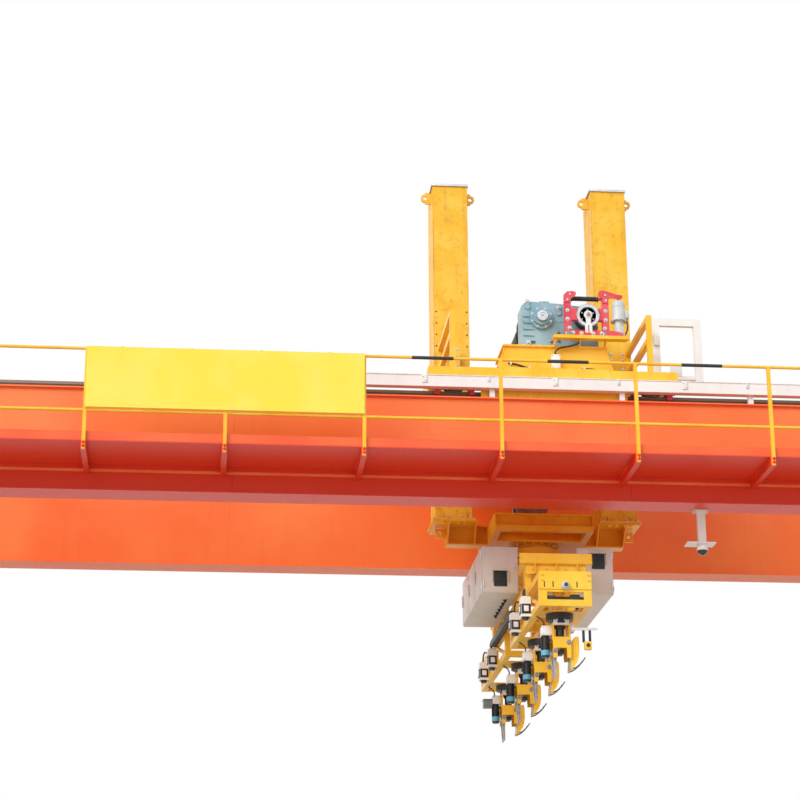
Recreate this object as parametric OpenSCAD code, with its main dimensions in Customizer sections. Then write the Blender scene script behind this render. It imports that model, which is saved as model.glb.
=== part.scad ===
// Double-girder overhead crane with a mast-guided hoist, a slewing spreader and four motor clamps.
// Millimetres, +X along the girders, +Y away from the sign side, +Z up.
// The origin is the middle of the left end carriage's underside.

/* [Bridge girders] */
// Distance between the runway rail centres
span = 13500; // [12600:50:15000]
// Depth of a girder at mid-span, over its flanges
girder_h = 1200; // [1000:10:1400]
// Width of a girder's flanges
girder_w = 380; // [340:5:420]
// Clear gap between the two girders
girder_gap = 2830; // [2750:10:3000]
// Thickness of the flanges and end plates
flange_t = 16; // [12:1:25]
// Thickness of the webs
web_t = 8; // [6:1:12]
// Flange overhang outside each web
flange_lip = 40; // [25:1:60]
// Depth of a girder over the end carriage
girder_end_h = 600; // [500:10:700]
// Length of the sloping stretch of the underside
taper_len = 700; // [500:10:900]
// Length of the level seat at each end
seat_len = 650; // [560:10:720]
// Girder length past the runway rail centre
end_over = 200; // [160:5:240]

/* [Trolley rails] */
// Height of a trolley rail
rail_h = 110; // [90:1:140]
// Width of the rail foot
rail_foot_w = 100; // [80:1:120]
// Width of the rail head
rail_head_w = 60; // [50:1:70]
// Height of the end stops above the girder
stop_h = 400; // [330:5:480]
// Length of an end stop along the rail
stop_len = 200; // [150:5:260]

/* [Walkways] */
// Distance between two railing posts
bay = 1500; // [1400:10:1600]
// Length left free at each end of the walkway
walk_end = 1400; // [1250:10:1490]
// Height of the deck underside above the girder underside
walk_z = 288; // [240:1:340]
// Width of the deck from the girder web to the posts
walk_w = 916; // [800:1:960]
// Thickness of the deck plate
deck_t = 8; // [5:1:12]
// Depth of the deck brackets at the girder
bracket_h = 98; // [70:1:120]
// Depth of the rear brackets at their outer ends
bracket_end_h = 40; // [30:1:60]
// Height of the toe board
toe_h = 100; // [80:1:150]
// Side of the square railing posts
post_w = 38; // [30:1:50]
// Height of the top rail above the deck underside
top_rail_z = 1038; // [950:1:1150]
// Height of the middle rail above the deck underside
mid_rail_z = 338; // [280:1:450]
// Diameter of the rails
pipe_d = 34; // [26:1:38]

/* [Sign and trough] */
// Number of bays that the sign panel covers
sign_bays = 2; // [1:1:2]
// Height of the sign panel
sign_h = 690; // [500:5:750]
// Height of the panel's lower edge above the deck underside
sign_z = 362; // [330:1:420]
// Depth of the panel's folded edge
sign_t = 25; // [15:1:40]
// Width of the cable trough
trough_w = 100; // [70:1:120]
// Height of the cable trough
trough_h = 140; // [90:1:160]
// Gap between the girder's top and the trough
trough_lift = 96; // [60:1:130]

/* [End carriages] */
// Height of an end carriage
carriage_h = 450; // [400:5:520]
// Width of an end carriage
carriage_w = 320; // [280:5:360]
// Length of an end carriage
carriage_len = 4600; // [4500:10:5000]
// Plate thickness of the carriages
carriage_t = 12; // [8:1:20]
// Distance from a wheel's centre to the carriage's end
wheel_inset = 350; // [330:5:420]
// Tread diameter of the travel wheels
wheel_d = 500; // [440:5:540]
// How far the tread stands below the carriage
wheel_drop = 120; // [80:1:150]
// Tread width of the travel wheels
wheel_w = 80; // [65:1:100]
// Depth of the wheel flanges
flange_d = 20; // [15:1:25]
// Diameter of the travel wheel axles
axle_d = 80; // [60:1:100]
// Diameter of the buffers
buffer_d = 160; // [120:1:200]
// Length of the buffers
buffer_len = 150; // [100:5:200]

/* [Trolley] */
// Place of the trolley's centre along the span
trolley_x = 8260; // [7800:10:8600]
// Length of the trolley's side beams
trolley_len = 2900; // [2860:10:3000]
// Width of the side beams
side_w = 200; // [180:1:220]
// Height of the side beams and cross beams
beam_h = 220; // [210:1:260]
// Gap between the rail head and the side beam
beam_lift = 60; // [40:1:90]
// Width of the cross beams
cross_w = 150; // [120:1:160]
// Plate thickness of the beams
beam_t = 12; // [8:1:16]
// Gap between a mast and the cross beams beside it
mast_gap = 60; // [50:1:70]
// Tread diameter of the trolley wheels
trolley_wheel_d = 240; // [200:2:245]
// Distance between the trolley wheels along the rail
trolley_base = 2300; // [2200:10:2380]
// Thickness of the trolley deck
floor_t = 12; // [8:1:20]

/* [Hoist] */
// Height of the pedestal under the hoist
pedestal_h = 438; // [380:1:480]
// Diameter of the rope drum
drum_d = 400; // [340:5:440]
// Length of the rope drum
drum_len = 1500; // [1300:10:1600]
// Depth of the reducer along its shafts
reducer_d = 310; // [280:5:360]
// Height of the reducer
reducer_h = 600; // [560:5:660]
// Outer diameter of the hoist motor
motor_d = 350; // [300:5:370]
// Length of the hoist motor
motor_len = 520; // [440:5:560]
// Diameter of the brake drum
brake_d = 284; // [250:2:290]
// Diameter of the hoist ropes
rope_d = 16; // [12:1:20]

/* [Masts and crosshead] */
// Distance between the mast centres
mast_pitch = 2000; // [1960:10:2040]
// Width of a mast along the girders
mast_w = 430; // [390:5:450]
// Depth of a mast across the girders
mast_d = 480; // [420:5:520]
// Wall thickness of the masts
mast_t = 12; // [8:1:20]
// Length of a mast above its foot plate
mast_len = 4340; // [4200:10:4600]
// Height of the crosshead's top above the girder underside
crosshead_z = 163; // [120:1:200]
// Depth of the crosshead
crosshead_h = 245; // [220:1:280]
// Width of the crosshead's middle frame along the girders
middle_w = 1165; // [1100:5:1200]
// Depth of the middle frame across the girders
middle_d = 1560; // [1400:10:1700]
// Diameter of the slewing column
column_d = 420; // [360:5:460]
// Diameter of the slewing flange
slew_d = 620; // [560:5:680]

/* [Spreader] */
// Length of the spreader's top frame
head_len = 3000; // [2800:10:3200]
// Width of the top frame over its side beams
head_w = 690; // [660:5:720]
// Height of the top frame's side beams
head_beam_h = 120; // [100:1:140]
// Width of a control cabinet
cabinet_w = 415; // [360:5:450]
// Height of a control cabinet
cabinet_h = 535; // [460:5:560]
// Length of a control cabinet
cabinet_len = 1800; // [1600:10:2000]
// Length of a clamp carrier
carrier_len = 2200; // [2120:10:2300]
// Width of a clamp carrier
carrier_w = 570; // [520:5:600]
// Height of a clamp carrier
carrier_h = 380; // [340:5:420]
// Gap between the two carriers
carrier_gap = 400; // [300:10:500]
// Size of the carriers' square tubes
chord = 70; // [60:1:80]
// Width of the slot in the front carrier's end plate
slot_w = 400; // [340:5:420]
// Height of that slot
slot_h = 85; // [60:1:100]

/* [Clamps] */
// Distance between two neighbouring clamps
clamp_pitch = 1325; // [1250:5:1400]
// Diameter of a clamp's rotator
rotator_d = 300; // [260:2:320]
// Distance from the carrier's underside to the yoke's top
yoke_drop = 270; // [240:2:300]
// Height of a yoke's cheeks
yoke_h = 230; // [210:2:250]
// Width of a yoke's cheeks
yoke_w = 200; // [180:2:220]
// Depth of a yoke over its cheeks
yoke_d = 250; // [230:2:270]
// Thickness of the cheeks and jaws
cheek_t = 25; // [20:1:30]
// Diameter of the jaw pins
pin_d = 30; // [24:1:36]
// Length of the gripping tines below their pin
tine_len = 290; // [260:2:320]
// Reach of a hook jaw below its pin
claw_len = 300; // [280:2:320]
// Width of a hook jaw beside its pin
claw_w = 118; // [100:1:130]

/* [Hidden] */
$fn = 48;

// Paints
girder_paint = "orangered";
machine_paint = "gold";
grey_paint = "silver";
steel = "slategray";

// Running gap between pieces that turn or slide on each other
running = 0.3;
// Clear space kept between moving pieces
clear = 12;

// Bridge heights and places: girder_z is the girder underside
girder_z = carriage_h - (girder_h - girder_end_h);
girder_y = (girder_gap + girder_w) / 2;
web_face_y = girder_y + girder_w / 2 - flange_lip;
post_y = web_face_y + walk_w + post_w / 2;
bay_count = floor((span - 2 * walk_end) / bay);
walk_len = bay * bay_count;
rail_top = girder_h + rail_h;
wheel_base = carriage_len - 2 * wheel_inset;
rail_len = span - 2 * (seat_len + taper_len / 2) + 2 * end_over;

// Trolley heights, above the girder underside
wheel_cap_t = 20;
trolley_axle_d = 60;
hatch_r = 300;
hatch_half = 420;
beam_z = rail_top + beam_lift;
floor_z = beam_z + beam_h;
base_z = floor_z + floor_t;
hoist_z = base_z + pedestal_h;
roller_d = 80;
cross_in = mast_pitch / 2 - mast_w / 2 - mast_gap - cross_w / 2;
cross_out = mast_pitch / 2 + mast_w / 2 + mast_gap + cross_w / 2;

// Hoist shafts, from the trolley's centre, and heights above the pedestal
drum_x = -38;
drum_rise = 381;
input_x = 490;
input_rise = 367;
tray_rise = 86;
brake_rise = 651;
reducer_y = -1150;
brake_y = -1350;
thruster_x = 857;
lever_w = 50;
drum_z = hoist_z + drum_rise;
input_z = hoist_z + input_rise;
tray_top = hoist_z + tray_rise;
brake_top = hoist_z + brake_rise;

// Rope falls: their places across the trolley, and the sheaves that they run under
rope_y = 110;
rope_reach = drum_d / 2 + rope_d / 2 + running;
sheave_d = drum_d;
sheave_lift = 60;
sheave_z = crosshead_z + sheave_d / 2 + sheave_lift;

// Spreader heights, above the girder underside
column_h = 180;
neck_h = 280;
hanger_h = 320;
crosshead_low = crosshead_z - crosshead_h;
slew_z = crosshead_low - column_h;
head_z = slew_z - neck_h;
carrier_top = head_z - head_beam_h - hanger_h;
carrier_low = carrier_top - carrier_h;
yoke_z = carrier_low - yoke_drop;
clamp_x = -65;

// Coordinates from mid-span and from the trolley's centre, with heights above the girder underside
module on_bridge() { translate([span / 2, 0, girder_z]) children(); }
module on_trolley() { translate([trolley_x, 0, girder_z]) children(); }

// A block between two limits on each axis
module block(x, y, z) {
    translate([x[0], y[0], z[0]]) cube([x[1] - x[0], y[1] - y[0], z[1] - z[0]]);
}

// The same block as a closed box of plates
module hollow(x, y, z, t) {
    difference() {
        block(x, y, z);
        block([x[0] + t, x[1] - t], [y[0] + t, y[1] - t], [z[0] + t, z[1] - t]);
    }
}

// Round bars along X, Y and Z, centred at a point
module bar_x(p, d, len) { translate(p) rotate([0, 90, 0]) cylinder(d = d, h = len, center = true); }
module bar_y(p, d, len) { translate(p) rotate([90, 0, 0]) cylinder(d = d, h = len, center = true); }
module bar_z(p, d, len) { translate(p) cylinder(d = d, h = len, center = true); }

// A flat outline in X and Z, extruded along Y about y
module slab_y(y, t) { translate([0, y + t / 2, 0]) rotate([90, 0, 0]) linear_extrude(t) children(); }

// A flat outline in Y and Z, extruded along X from x
module slab_x(x, t) { translate([x, 0, 0]) rotate([90, 0, 90]) linear_extrude(t) children(); }

// A straight strip of width w between two points of a flat outline
module strip(a, b, w) {
    d = b - a;
    translate(a) rotate(atan2(d[1], d[0])) translate([0, -w / 2]) square([norm(d), w]);
}

// Side outline of a girder, drawn in by a plate thickness
function girder_outline(inset) =
    let (
        half = span / 2 + end_over,
        top = girder_h - inset,
        seat = girder_h - girder_end_h + inset,
        seat_x = half - seat_len,
        low_x = seat_x - taper_len
    ) [
        [-half + inset, top], [half - inset, top], [half - inset, seat], [seat_x, seat],
        [low_x, inset], [-low_x, inset], [-seat_x, seat], [-half + inset, seat]
    ];

// Box girder: flanges and end plates round the outline, and two webs
module girder(side) {
    color(girder_paint) on_bridge() translate([0, side * girder_y, 0]) {
        slab_y(0, girder_w) difference() {
            polygon(girder_outline(0));
            polygon(girder_outline(flange_t));
        }
        for (s = [-1, 1])
            slab_y(s * (girder_w / 2 - flange_lip - web_t / 2), web_t)
                polygon(girder_outline(flange_t / 2));
    }
}

module front_girder() { girder(-1); }
module rear_girder() { girder(1); }

// Crane rail section: foot, waist and head
module rail_section() {
    foot_t = 14;
    waist_w = 20;
    head_t = 34;
    translate([-rail_foot_w / 2, 0]) square([rail_foot_w, foot_t]);
    translate([-waist_w / 2, 0]) square([waist_w, rail_h]);
    translate([-rail_head_w / 2, rail_h - head_t]) square([rail_head_w, head_t]);
}

module trolley_rails() {
    color(steel) on_bridge() for (s = [-1, 1])
        translate([0, s * girder_y, girder_h]) slab_x(-rail_len / 2, rail_len) rail_section();
}

// End stops beyond the rails, each a gusseted post with a rubber face
module trolley_stops() {
    plate = 20;
    color(girder_paint) on_bridge() for (s = [-1, 1], e = [-1, 1])
        translate([e * (rail_len / 2), s * girder_y, girder_h]) mirror([e < 0 ? 1 : 0, 0, 0]) {
            block([0, plate], [-side_w / 2, side_w / 2], [0, stop_h]);
            slab_y(0, plate) polygon([[0, 0], [stop_len, 0], [plate, stop_h]]);
            block([0, stop_len], [-side_w / 2, side_w / 2], [0, plate]);
        }
}

// Walkway: deck plate, ledger angle on the web, channel brackets and toe board
module walkway(side) {
    half = walk_len / 2 + post_w;
    edge = web_face_y + walk_w;
    ledger = 40;
    lip = 8;
    bracket_w = 60;
    end_h = side < 0 ? bracket_h : bracket_end_h;
    color(girder_paint) on_bridge() translate([0, 0, walk_z]) mirror([0, side < 0 ? 1 : 0, 0]) {
        block([-half, half], [web_face_y, edge], [0, deck_t]);
        block([-half, half], [web_face_y, web_face_y + ledger], [-ledger, 0]);
        block([-half, half], [edge - lip, edge], [0, deck_t + toe_h]);
        for (i = [0 : bay_count]) translate([-walk_len / 2 + i * bay, 0, 0]) {
            slab_x(-bracket_w / 2, lip)
                polygon([[web_face_y, 0], [web_face_y, -bracket_h], [edge, -end_h], [edge, 0]]);
            slab_x(-bracket_w / 2, bracket_w)
                polygon([[web_face_y, lip - bracket_h], [web_face_y, -bracket_h], [edge, -end_h],
                    [edge, lip - end_h]]);
            block([-bracket_w / 2, bracket_w / 2], [edge - lip, edge], [-end_h, 0]);
        }
    }
}

module front_walkway() { walkway(-1); }
module rear_walkway() { walkway(1); }

// Railing: square posts on the bracket ends, a top rail and a middle rail
module railing(side) {
    foot = side < 0 ? bracket_h : bracket_end_h;
    color(machine_paint) on_bridge() translate([0, side * post_y, walk_z]) {
        for (i = [0 : bay_count])
            translate([-walk_len / 2 + i * bay - post_w / 2, -post_w / 2, -foot])
                cube([post_w, post_w, foot + top_rail_z]);
        for (z = [mid_rail_z, top_rail_z]) bar_x([0, 0, z], pipe_d, walk_len + post_w);
    }
}

module front_railing() { railing(-1); }
module rear_railing() { railing(1); }

// Sign panel: a folded pan on the outer faces of the railing posts
module sign_panel() {
    skin = 4;
    first_post = 1;
    left = -walk_len / 2 + first_post * bay;
    right = left + sign_bays * bay;
    y0 = -post_y - post_w / 2;
    color(machine_paint) on_bridge() translate([0, 0, walk_z + sign_z]) difference() {
        block([left, right], [y0 - sign_t, y0], [0, sign_h]);
        for (i = [0 : sign_bays - 1])
            block([left + i * bay + post_w, left + (i + 1) * bay - post_w], [y0 - sign_t + skin, y0 + 1],
                [post_w, sign_h - post_w]);
    }
}

// Cable trough with a lid, on small feet along the girder's top edge
module cable_trough() {
    foot = 60;
    lid = 8;
    sheet = 4;
    left = -bay;
    right = walk_len / 2;
    edge = -girder_y - girder_w / 2;
    y1 = -girder_y - side_w / 2 - wheel_cap_t - clear - lid;
    y0 = y1 - trough_w;
    color("white") on_bridge() translate([0, 0, girder_h]) {
        hollow([left, right], [y0, y1], [trough_lift, trough_lift + trough_h - lid], sheet);
        block([left, right], [y0 - lid, y1 + lid], [trough_lift + trough_h - lid, trough_lift + trough_h]);
        for (x = [left + bay / 2 : bay : right - foot])
            block([x, x + foot], [edge, y1], [0, trough_lift]);
    }
}

// End carriage: a plate box across the girder ends, open below at the wheels
module end_carriage(x) {
    pocket_w = wheel_w + 60;
    pocket_len = wheel_d + 100;
    inner = carriage_w / 2 - carriage_t;
    axle_z = wheel_d / 2 - wheel_drop;
    color(girder_paint) translate([x, 0, 0]) difference() {
        block([-carriage_w / 2, carriage_w / 2], [-carriage_len / 2, carriage_len / 2], [0, carriage_h]);
        block([-inner, inner], [carriage_t - carriage_len / 2, carriage_len / 2 - carriage_t],
            [carriage_t, carriage_h - carriage_t]);
        for (s = [-1, 1]) translate([0, s * wheel_base / 2, 0]) {
            block([-pocket_w / 2, pocket_w / 2], [-pocket_len / 2, pocket_len / 2], [-1, carriage_t + 1]);
            bar_x([0, 0, axle_z], axle_d + 2 * running, carriage_w + 2);
        }
    }
}

module left_end_carriage() { end_carriage(0); }
module right_end_carriage() { end_carriage(span); }

// Double-flanged wheel with a hub and a recessed web, turned about its axle
module wheel_turned(tread_d, tread_w, rim) {
    flange_w = 20;
    recess = tread_w / 3;
    hub_r = tread_d * 0.23;
    web_r = tread_d * 0.38;
    rotate([0, 90, 0]) rotate_extrude($fn = 96) difference() {
        union() {
            translate([0, -tread_w / 2]) square([tread_d / 2, tread_w]);
            for (s = [-1, 1]) translate([0, s * (tread_w + flange_w) / 2 - flange_w / 2])
                square([tread_d / 2 + rim, flange_w]);
        }
        for (s = [-1, 1]) translate([hub_r, s * (tread_w / 2 + flange_w) - recess])
            square([web_r - hub_r, 2 * recess]);
    }
}

module travel_wheels() {
    cap_d = 180;
    cap_t = 40;
    axle_z = wheel_d / 2 - wheel_drop;
    color(steel) for (x = [0, span], s = [-1, 1]) translate([x, s * wheel_base / 2, axle_z]) {
        wheel_turned(wheel_d, wheel_w, flange_d);
        bar_x([0, 0, 0], axle_d, carriage_w);
        for (e = [-1, 1]) bar_x([e * (carriage_w + cap_t) / 2, 0, 0], cap_d, cap_t);
    }
}

// Travel gearmotors on the inner faces of the carriages
module travel_drives() {
    box_d = 260;
    box_t = 180;
    cap_t = 40;
    can_d = 190;
    can_len = 320;
    axle_z = wheel_d / 2 - wheel_drop;
    color("steelblue") for (e = [0, 1])
        translate([e * span, -wheel_base / 2, axle_z]) mirror([e, 0, 0])
            translate([carriage_w / 2 + cap_t, 0, 0]) {
                bar_x([box_t / 2, 0, 0], box_d, box_t);
                bar_x([box_t + can_len / 2, 0, 0], can_d, can_len);
                block([box_t + 60, box_t + 200], [-60, 60], [can_d / 2 - 20, can_d / 2 + 50]);
            }
}

module end_buffers() {
    plate_t = 20;
    z = carriage_h / 2;
    color("dimgray") for (x = [0, span], s = [-1, 1]) translate([x, s * carriage_len / 2, z]) {
        block([-buffer_d / 2, buffer_d / 2], s > 0 ? [0, plate_t] : [-plate_t, 0],
            [-buffer_d / 2, buffer_d / 2]);
        bar_y([0, s * (plate_t + buffer_len / 2), 0], buffer_d, buffer_len);
    }
}

// Camera under a plate at the foot of a drop pole, on the front girder's inner flange
module inspection_camera() {
    x = 3200;
    foot_t = 10;
    pole_w = 90;
    pole_d = 60;
    pole_len = 390;
    shelf_t = 12;
    shelf_d = 200;
    shelf_l = 190;
    shelf_r = 140;
    dome_d = 120;
    dome_h = 60;
    y = -girder_gap / 2 - pole_d;
    color("white") on_bridge() translate([x, y, 0]) {
        block([-pole_w, pole_w], [-pole_d, pole_d], [-foot_t, 0]);
        block([-pole_w / 2, pole_w / 2], [-pole_d / 2, pole_d / 2], [-pole_len, -foot_t]);
        block([-shelf_l, shelf_r], [-shelf_d / 2, shelf_d / 2], [-pole_len - shelf_t, -pole_len]);
        translate([0, 0, -pole_len - shelf_t - dome_h]) {
            cylinder(d = dome_d, h = dome_h);
            sphere(d = dome_d);
        }
    }
}

// Trolley side beams over the rails, open below at the wheels, with bearing caps and skirt plates
module trolley_side_beams() {
    pocket_w = 110;
    pocket_len = trolley_wheel_d + 60;
    void = (trolley_base - pocket_len) / 2 - beam_t;
    axle_z = rail_top + trolley_wheel_d / 2;
    cap_d = 130;
    skirt_half = 850;
    skirt_t = 10;
    skirt_low = girder_h + 15;
    skirt_high = beam_z + beam_h / 3;
    color(machine_paint) on_trolley()
        for (s = [-1, 1]) translate([0, s * girder_y, 0]) mirror([0, s < 0 ? 1 : 0, 0]) {
        difference() {
            block([-trolley_len / 2, trolley_len / 2], [-side_w / 2, side_w / 2], [beam_z, floor_z]);
            block([-void, void], [beam_t - side_w / 2, side_w / 2 - beam_t],
                [beam_z + beam_t, floor_z - beam_t]);
            for (e = [-1, 1]) translate([e * trolley_base / 2, 0, 0]) {
                block([-pocket_len / 2, pocket_len / 2], [-pocket_w / 2, pocket_w / 2],
                    [beam_z - 1, floor_z - beam_t]);
                bar_y([0, 0, axle_z], trolley_axle_d + 2 * running, side_w + 2);
            }
        }
        for (e = [-1, 1], k = [-1, 1])
            bar_y([e * trolley_base / 2, k * (side_w + wheel_cap_t) / 2, axle_z], cap_d, wheel_cap_t);
        block([-skirt_half, skirt_half], [side_w / 2, side_w / 2 + skirt_t], [skirt_low, skirt_high]);
    }
}

// Four box cross beams, a pair beside each mast
module trolley_cross_beams() {
    half = girder_y - side_w / 2;
    color(machine_paint) on_trolley() for (x = [-cross_out, -cross_in, cross_in, cross_out])
        hollow([x - cross_w / 2, x + cross_w / 2], [-half, half], [beam_z, floor_z], beam_t);
}

// Deck plate with the opening for the ropes
module trolley_deck() {
    half = girder_y + side_w / 2;
    color(machine_paint) on_trolley() difference() {
        block([-cross_in, cross_in], [-half, half], [floor_z, base_z]);
        block([-cross_in + cross_w / 2, hatch_r], [-hatch_half, hatch_half], [floor_z - 1, base_z + 1]);
    }
}

module trolley_wheels() {
    play = 4;
    rim = 16;
    axle_z = rail_top + trolley_wheel_d / 2;
    color(steel) on_trolley() for (s = [-1, 1], e = [-1, 1])
        translate([e * trolley_base / 2, s * girder_y, axle_z]) {
            rotate([0, 0, 90]) wheel_turned(trolley_wheel_d, rail_head_w + play, rim);
            bar_y([0, 0, 0], trolley_axle_d, side_w);
        }
}

// Trolley gearmotor on the rear side beam's inner face
module trolley_drive() {
    case_d = 190;
    case_len = 140;
    can_d = 150;
    can_len = 260;
    cowl_d = 160;
    cowl_len = 60;
    axle_z = rail_top + trolley_wheel_d / 2;
    y = girder_y - side_w / 2 - wheel_cap_t;
    color("steelblue") on_trolley() translate([-trolley_base / 2, y, axle_z]) {
        bar_y([0, -case_len / 2, 0], case_d, case_len);
        bar_y([0, -case_len - can_len / 2, 0], can_d, can_len);
        bar_y([0, -case_len - can_len + cowl_len / 2, 0], cowl_d, cowl_len);
    }
}

// Flared pedestal, brake tray on its gussets, motor stand, drum bearing stand and the ropes' anchor portal
module hoist_pedestal() {
    top_l = -500;
    top_r = 700;
    flare_l = 80;
    flare_r = 140;
    plate = 20;
    lip = 30;
    front = brake_y + 70;
    stand_d = reducer_d + 300;
    stand_y = front + lip + stand_d / 2;
    stand_back = stand_y + stand_d / 2 + lip;
    tray_l = 65;
    tray_r = thruster_x + 90;
    tray_d = 2 * (front - brake_y);
    tray_lip = 40;
    gusset = 12;
    motor_foot = 260;
    motor_stand_d = 440;
    bearing_y = reducer_y + reducer_d + drum_len + 120;
    bearing_t = 125;
    bearing_foot = 200;
    bearing_top = 90;
    anchor_w = 70;
    anchor_x = drum_x + rope_reach - rope_d / 4;
    anchor_y = hatch_half + anchor_w;
    color(machine_paint) on_trolley() {
        difference() {
            slab_y(stand_y, stand_d) polygon([[top_l - flare_l, base_z], [top_r + flare_r, base_z],
                [top_r, hoist_z - plate], [top_l, hoist_z - plate]]);
            slab_y(stand_y, stand_d - 2 * plate) polygon([[top_l - flare_l + 2 * plate, base_z + plate],
                [top_r + flare_r - 2 * plate, base_z + plate], [top_r - plate, hoist_z - 2 * plate],
                [top_l + plate, hoist_z - 2 * plate]]);
        }
        block([top_l - plate, top_r + plate], [front, stand_back], [hoist_z - plate, hoist_z]);
        block([tray_l, tray_r], [front - tray_d, front], [tray_top - plate, tray_top]);
        block([tray_l, tray_r], [front - tray_d - gusset, front - tray_d], [tray_top - tray_lip, tray_top]);
        for (x = [tray_l + plate, (tray_l + top_r) / 2, top_r - gusset])
            slab_x(x, gusset) polygon([[front + lip, hoist_z - gusset], [front, hoist_z - plate],
                [front - tray_d, tray_top - plate], [front + lip, tray_top - plate]]);
        hollow([input_x - motor_foot / 2, input_x + motor_foot / 2], [stand_back, stand_back + motor_stand_d],
            [base_z, input_z - motor_d / 2 - lip], plate);
        slab_y(bearing_y, bearing_t) polygon([
            [drum_x - bearing_foot, base_z], [drum_x + bearing_foot, base_z],
            [drum_x + bearing_top, drum_z], [drum_x - bearing_top, drum_z]]);
        block([anchor_x, anchor_x + anchor_w], [-anchor_y, anchor_y], [drum_z, drum_z + anchor_w]);
        for (y = [-anchor_y, anchor_y - anchor_w])
            block([anchor_x, anchor_x + anchor_w], [y, y + anchor_w], [base_z, drum_z]);
    }
}

// Parallel-shaft reducer: ribbed case on a foot flange, with corner and shaft bosses and a lifting lug
module hoist_reducer() {
    left = -270;
    right = 640;
    chamfer = 60;
    foot_t = 25;
    foot_lip = 15;
    rib_t = 14;
    rib_out = 18;
    rib_len = 150;
    rib_pitch = 80;
    boss_d = 70;
    pocket = 40;
    drum_boss_d = 270;
    input_boss_d = 170;
    hub_step = 40;
    y = reducer_y + reducer_d / 2;
    top = hoist_z + reducer_h;
    color("cadetblue") on_trolley() {
        difference() {
            slab_y(y, reducer_d) polygon([
                [left, hoist_z], [right, hoist_z], [right, top - 2 * chamfer],
                [right - chamfer, top - chamfer], [left + 7 * chamfer, top - chamfer / 3],
                [left + chamfer, top], [left, top - chamfer]]);
            block([left + 2 * pocket, left + 4 * pocket], [reducer_y - 1, reducer_y + pocket],
                [hoist_z + 1.5 * pocket, hoist_z + 2.5 * pocket]);
        }
        block([left - foot_lip, right + foot_lip], [reducer_y - foot_lip, reducer_y + reducer_d + foot_lip],
            [hoist_z, hoist_z + foot_t]);
        for (k = [2 : 5])
            block([left + rib_t, left + rib_len - rib_t * k / 2], [reducer_y - rib_out, reducer_y],
                [hoist_z + k * rib_pitch, hoist_z + k * rib_pitch + rib_t]);
        for (q = [[left + boss_d, top - boss_d], [left + boss_d, hoist_z + boss_d],
            [drum_x + 3 * boss_d, top - 2 * boss_d]])
            bar_y([q[0], reducer_y - rib_out / 2, q[1]], boss_d, rib_out);
        for (k = [0 : 2])
            bar_y([drum_x, reducer_y - hub_step * (k + 1) / 2, drum_z], drum_boss_d - k * boss_d, hub_step * (k + 1));
        bar_y([input_x, reducer_y - hub_step / 2, input_z], input_boss_d, hub_step);
        slab_y(y, 2 * rib_t) difference() {
            translate([left + 4 * chamfer, top - chamfer]) square([2 * chamfer, 2 * chamfer]);
            translate([left + 5 * chamfer, top + chamfer / 3]) circle(d = chamfer);
        }
    }
}

// Drum brake: base, two arms, shoes round the drum, tie rod and the lever to the thruster
module brake_frame() {
    left = 205;
    right = 735;
    band = 80;
    corner = 40;
    t = 60;
    shoe_h = 150;
    rod_d = 36;
    color("crimson") on_trolley() {
        slab_y(brake_y, t) difference() {
            polygon([[left + corner, tray_top], [right - corner, tray_top], [right, tray_top + corner],
                [right, brake_top - corner], [right - corner, brake_top], [left + corner, brake_top],
                [left, brake_top - corner], [left, tray_top + corner]]);
            translate([left + band, tray_top + band]) square([right - left - 2 * band, brake_top - tray_top]);
        }
        difference() {
            for (x = [[left + band - 1, input_x - brake_d / 4], [input_x + brake_d / 4, right - band + 1]])
                block(x, [brake_y - t / 2, brake_y + t / 2], [input_z - shoe_h / 2, input_z + shoe_h / 2]);
            bar_y([input_x, brake_y, input_z], brake_d + 2 * running, 2 * t);
        }
        bar_x([(left + right) / 2, brake_y, brake_top - band], rod_d, right - left - band);
        slab_y(brake_y, t / 2) polygon([
            [right - band, brake_top - lever_w], [thruster_x + lever_w, brake_top - lever_w],
            [thruster_x + lever_w, brake_top - lever_w / 2], [right - band, brake_top]]);
    }
}

// Brake drum with a dished face, on the reducer's input shaft
module brake_drum() {
    face_w = 150;
    dish = 40;
    rim_t = 16;
    hub_d = 90;
    boss_y = reducer_y - 40;
    back = boss_y - 10;
    color("lightgray") on_trolley() translate([input_x, boss_y, input_z]) rotate([90, 0, 0])
        rotate_extrude($fn = 96) difference() {
            union() {
                square([hub_d / 2, boss_y - back + face_w]);
                translate([0, boss_y - back]) square([brake_d / 2, face_w]);
            }
            translate([hub_d / 2, boss_y - back + face_w - dish])
                square([brake_d / 2 - rim_t - hub_d / 2, dish + 1]);
        }
}

// Brake thruster: a domed cylinder on a flange, with its foot on the tray and its rod under the lever
module brake_thruster() {
    can_d = 160;
    flange_d = 190;
    flange_t = 20;
    neck_d = 110;
    foot_h = 44;
    foot_w = 120;
    rod_d = 24;
    can_z = tray_top + 230;
    can_h = 180;
    lever_low = brake_top - lever_w;
    dome_h = 48;
    color("gainsboro") on_trolley() translate([thruster_x, brake_y, 0]) {
        rotate_extrude($fn = 64) {
            translate([0, tray_top + foot_h]) square([neck_d / 2, can_z - tray_top - foot_h]);
            translate([0, can_z - flange_t]) square([flange_d / 2, flange_t]);
            translate([0, can_z]) square([can_d / 2, can_h]);
            translate([0, can_z + can_h]) intersection() {
                circle(d = can_d);
                translate([0, -1]) square([can_d / 2, dome_h + 1]);
            }
            translate([0, can_z + can_h]) square([rod_d / 2, lever_low - can_z - can_h]);
        }
        block([-foot_w / 2, foot_w / 2], [-foot_w / 3, foot_w / 3], [tray_top, tray_top + foot_h]);
    }
}

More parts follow.
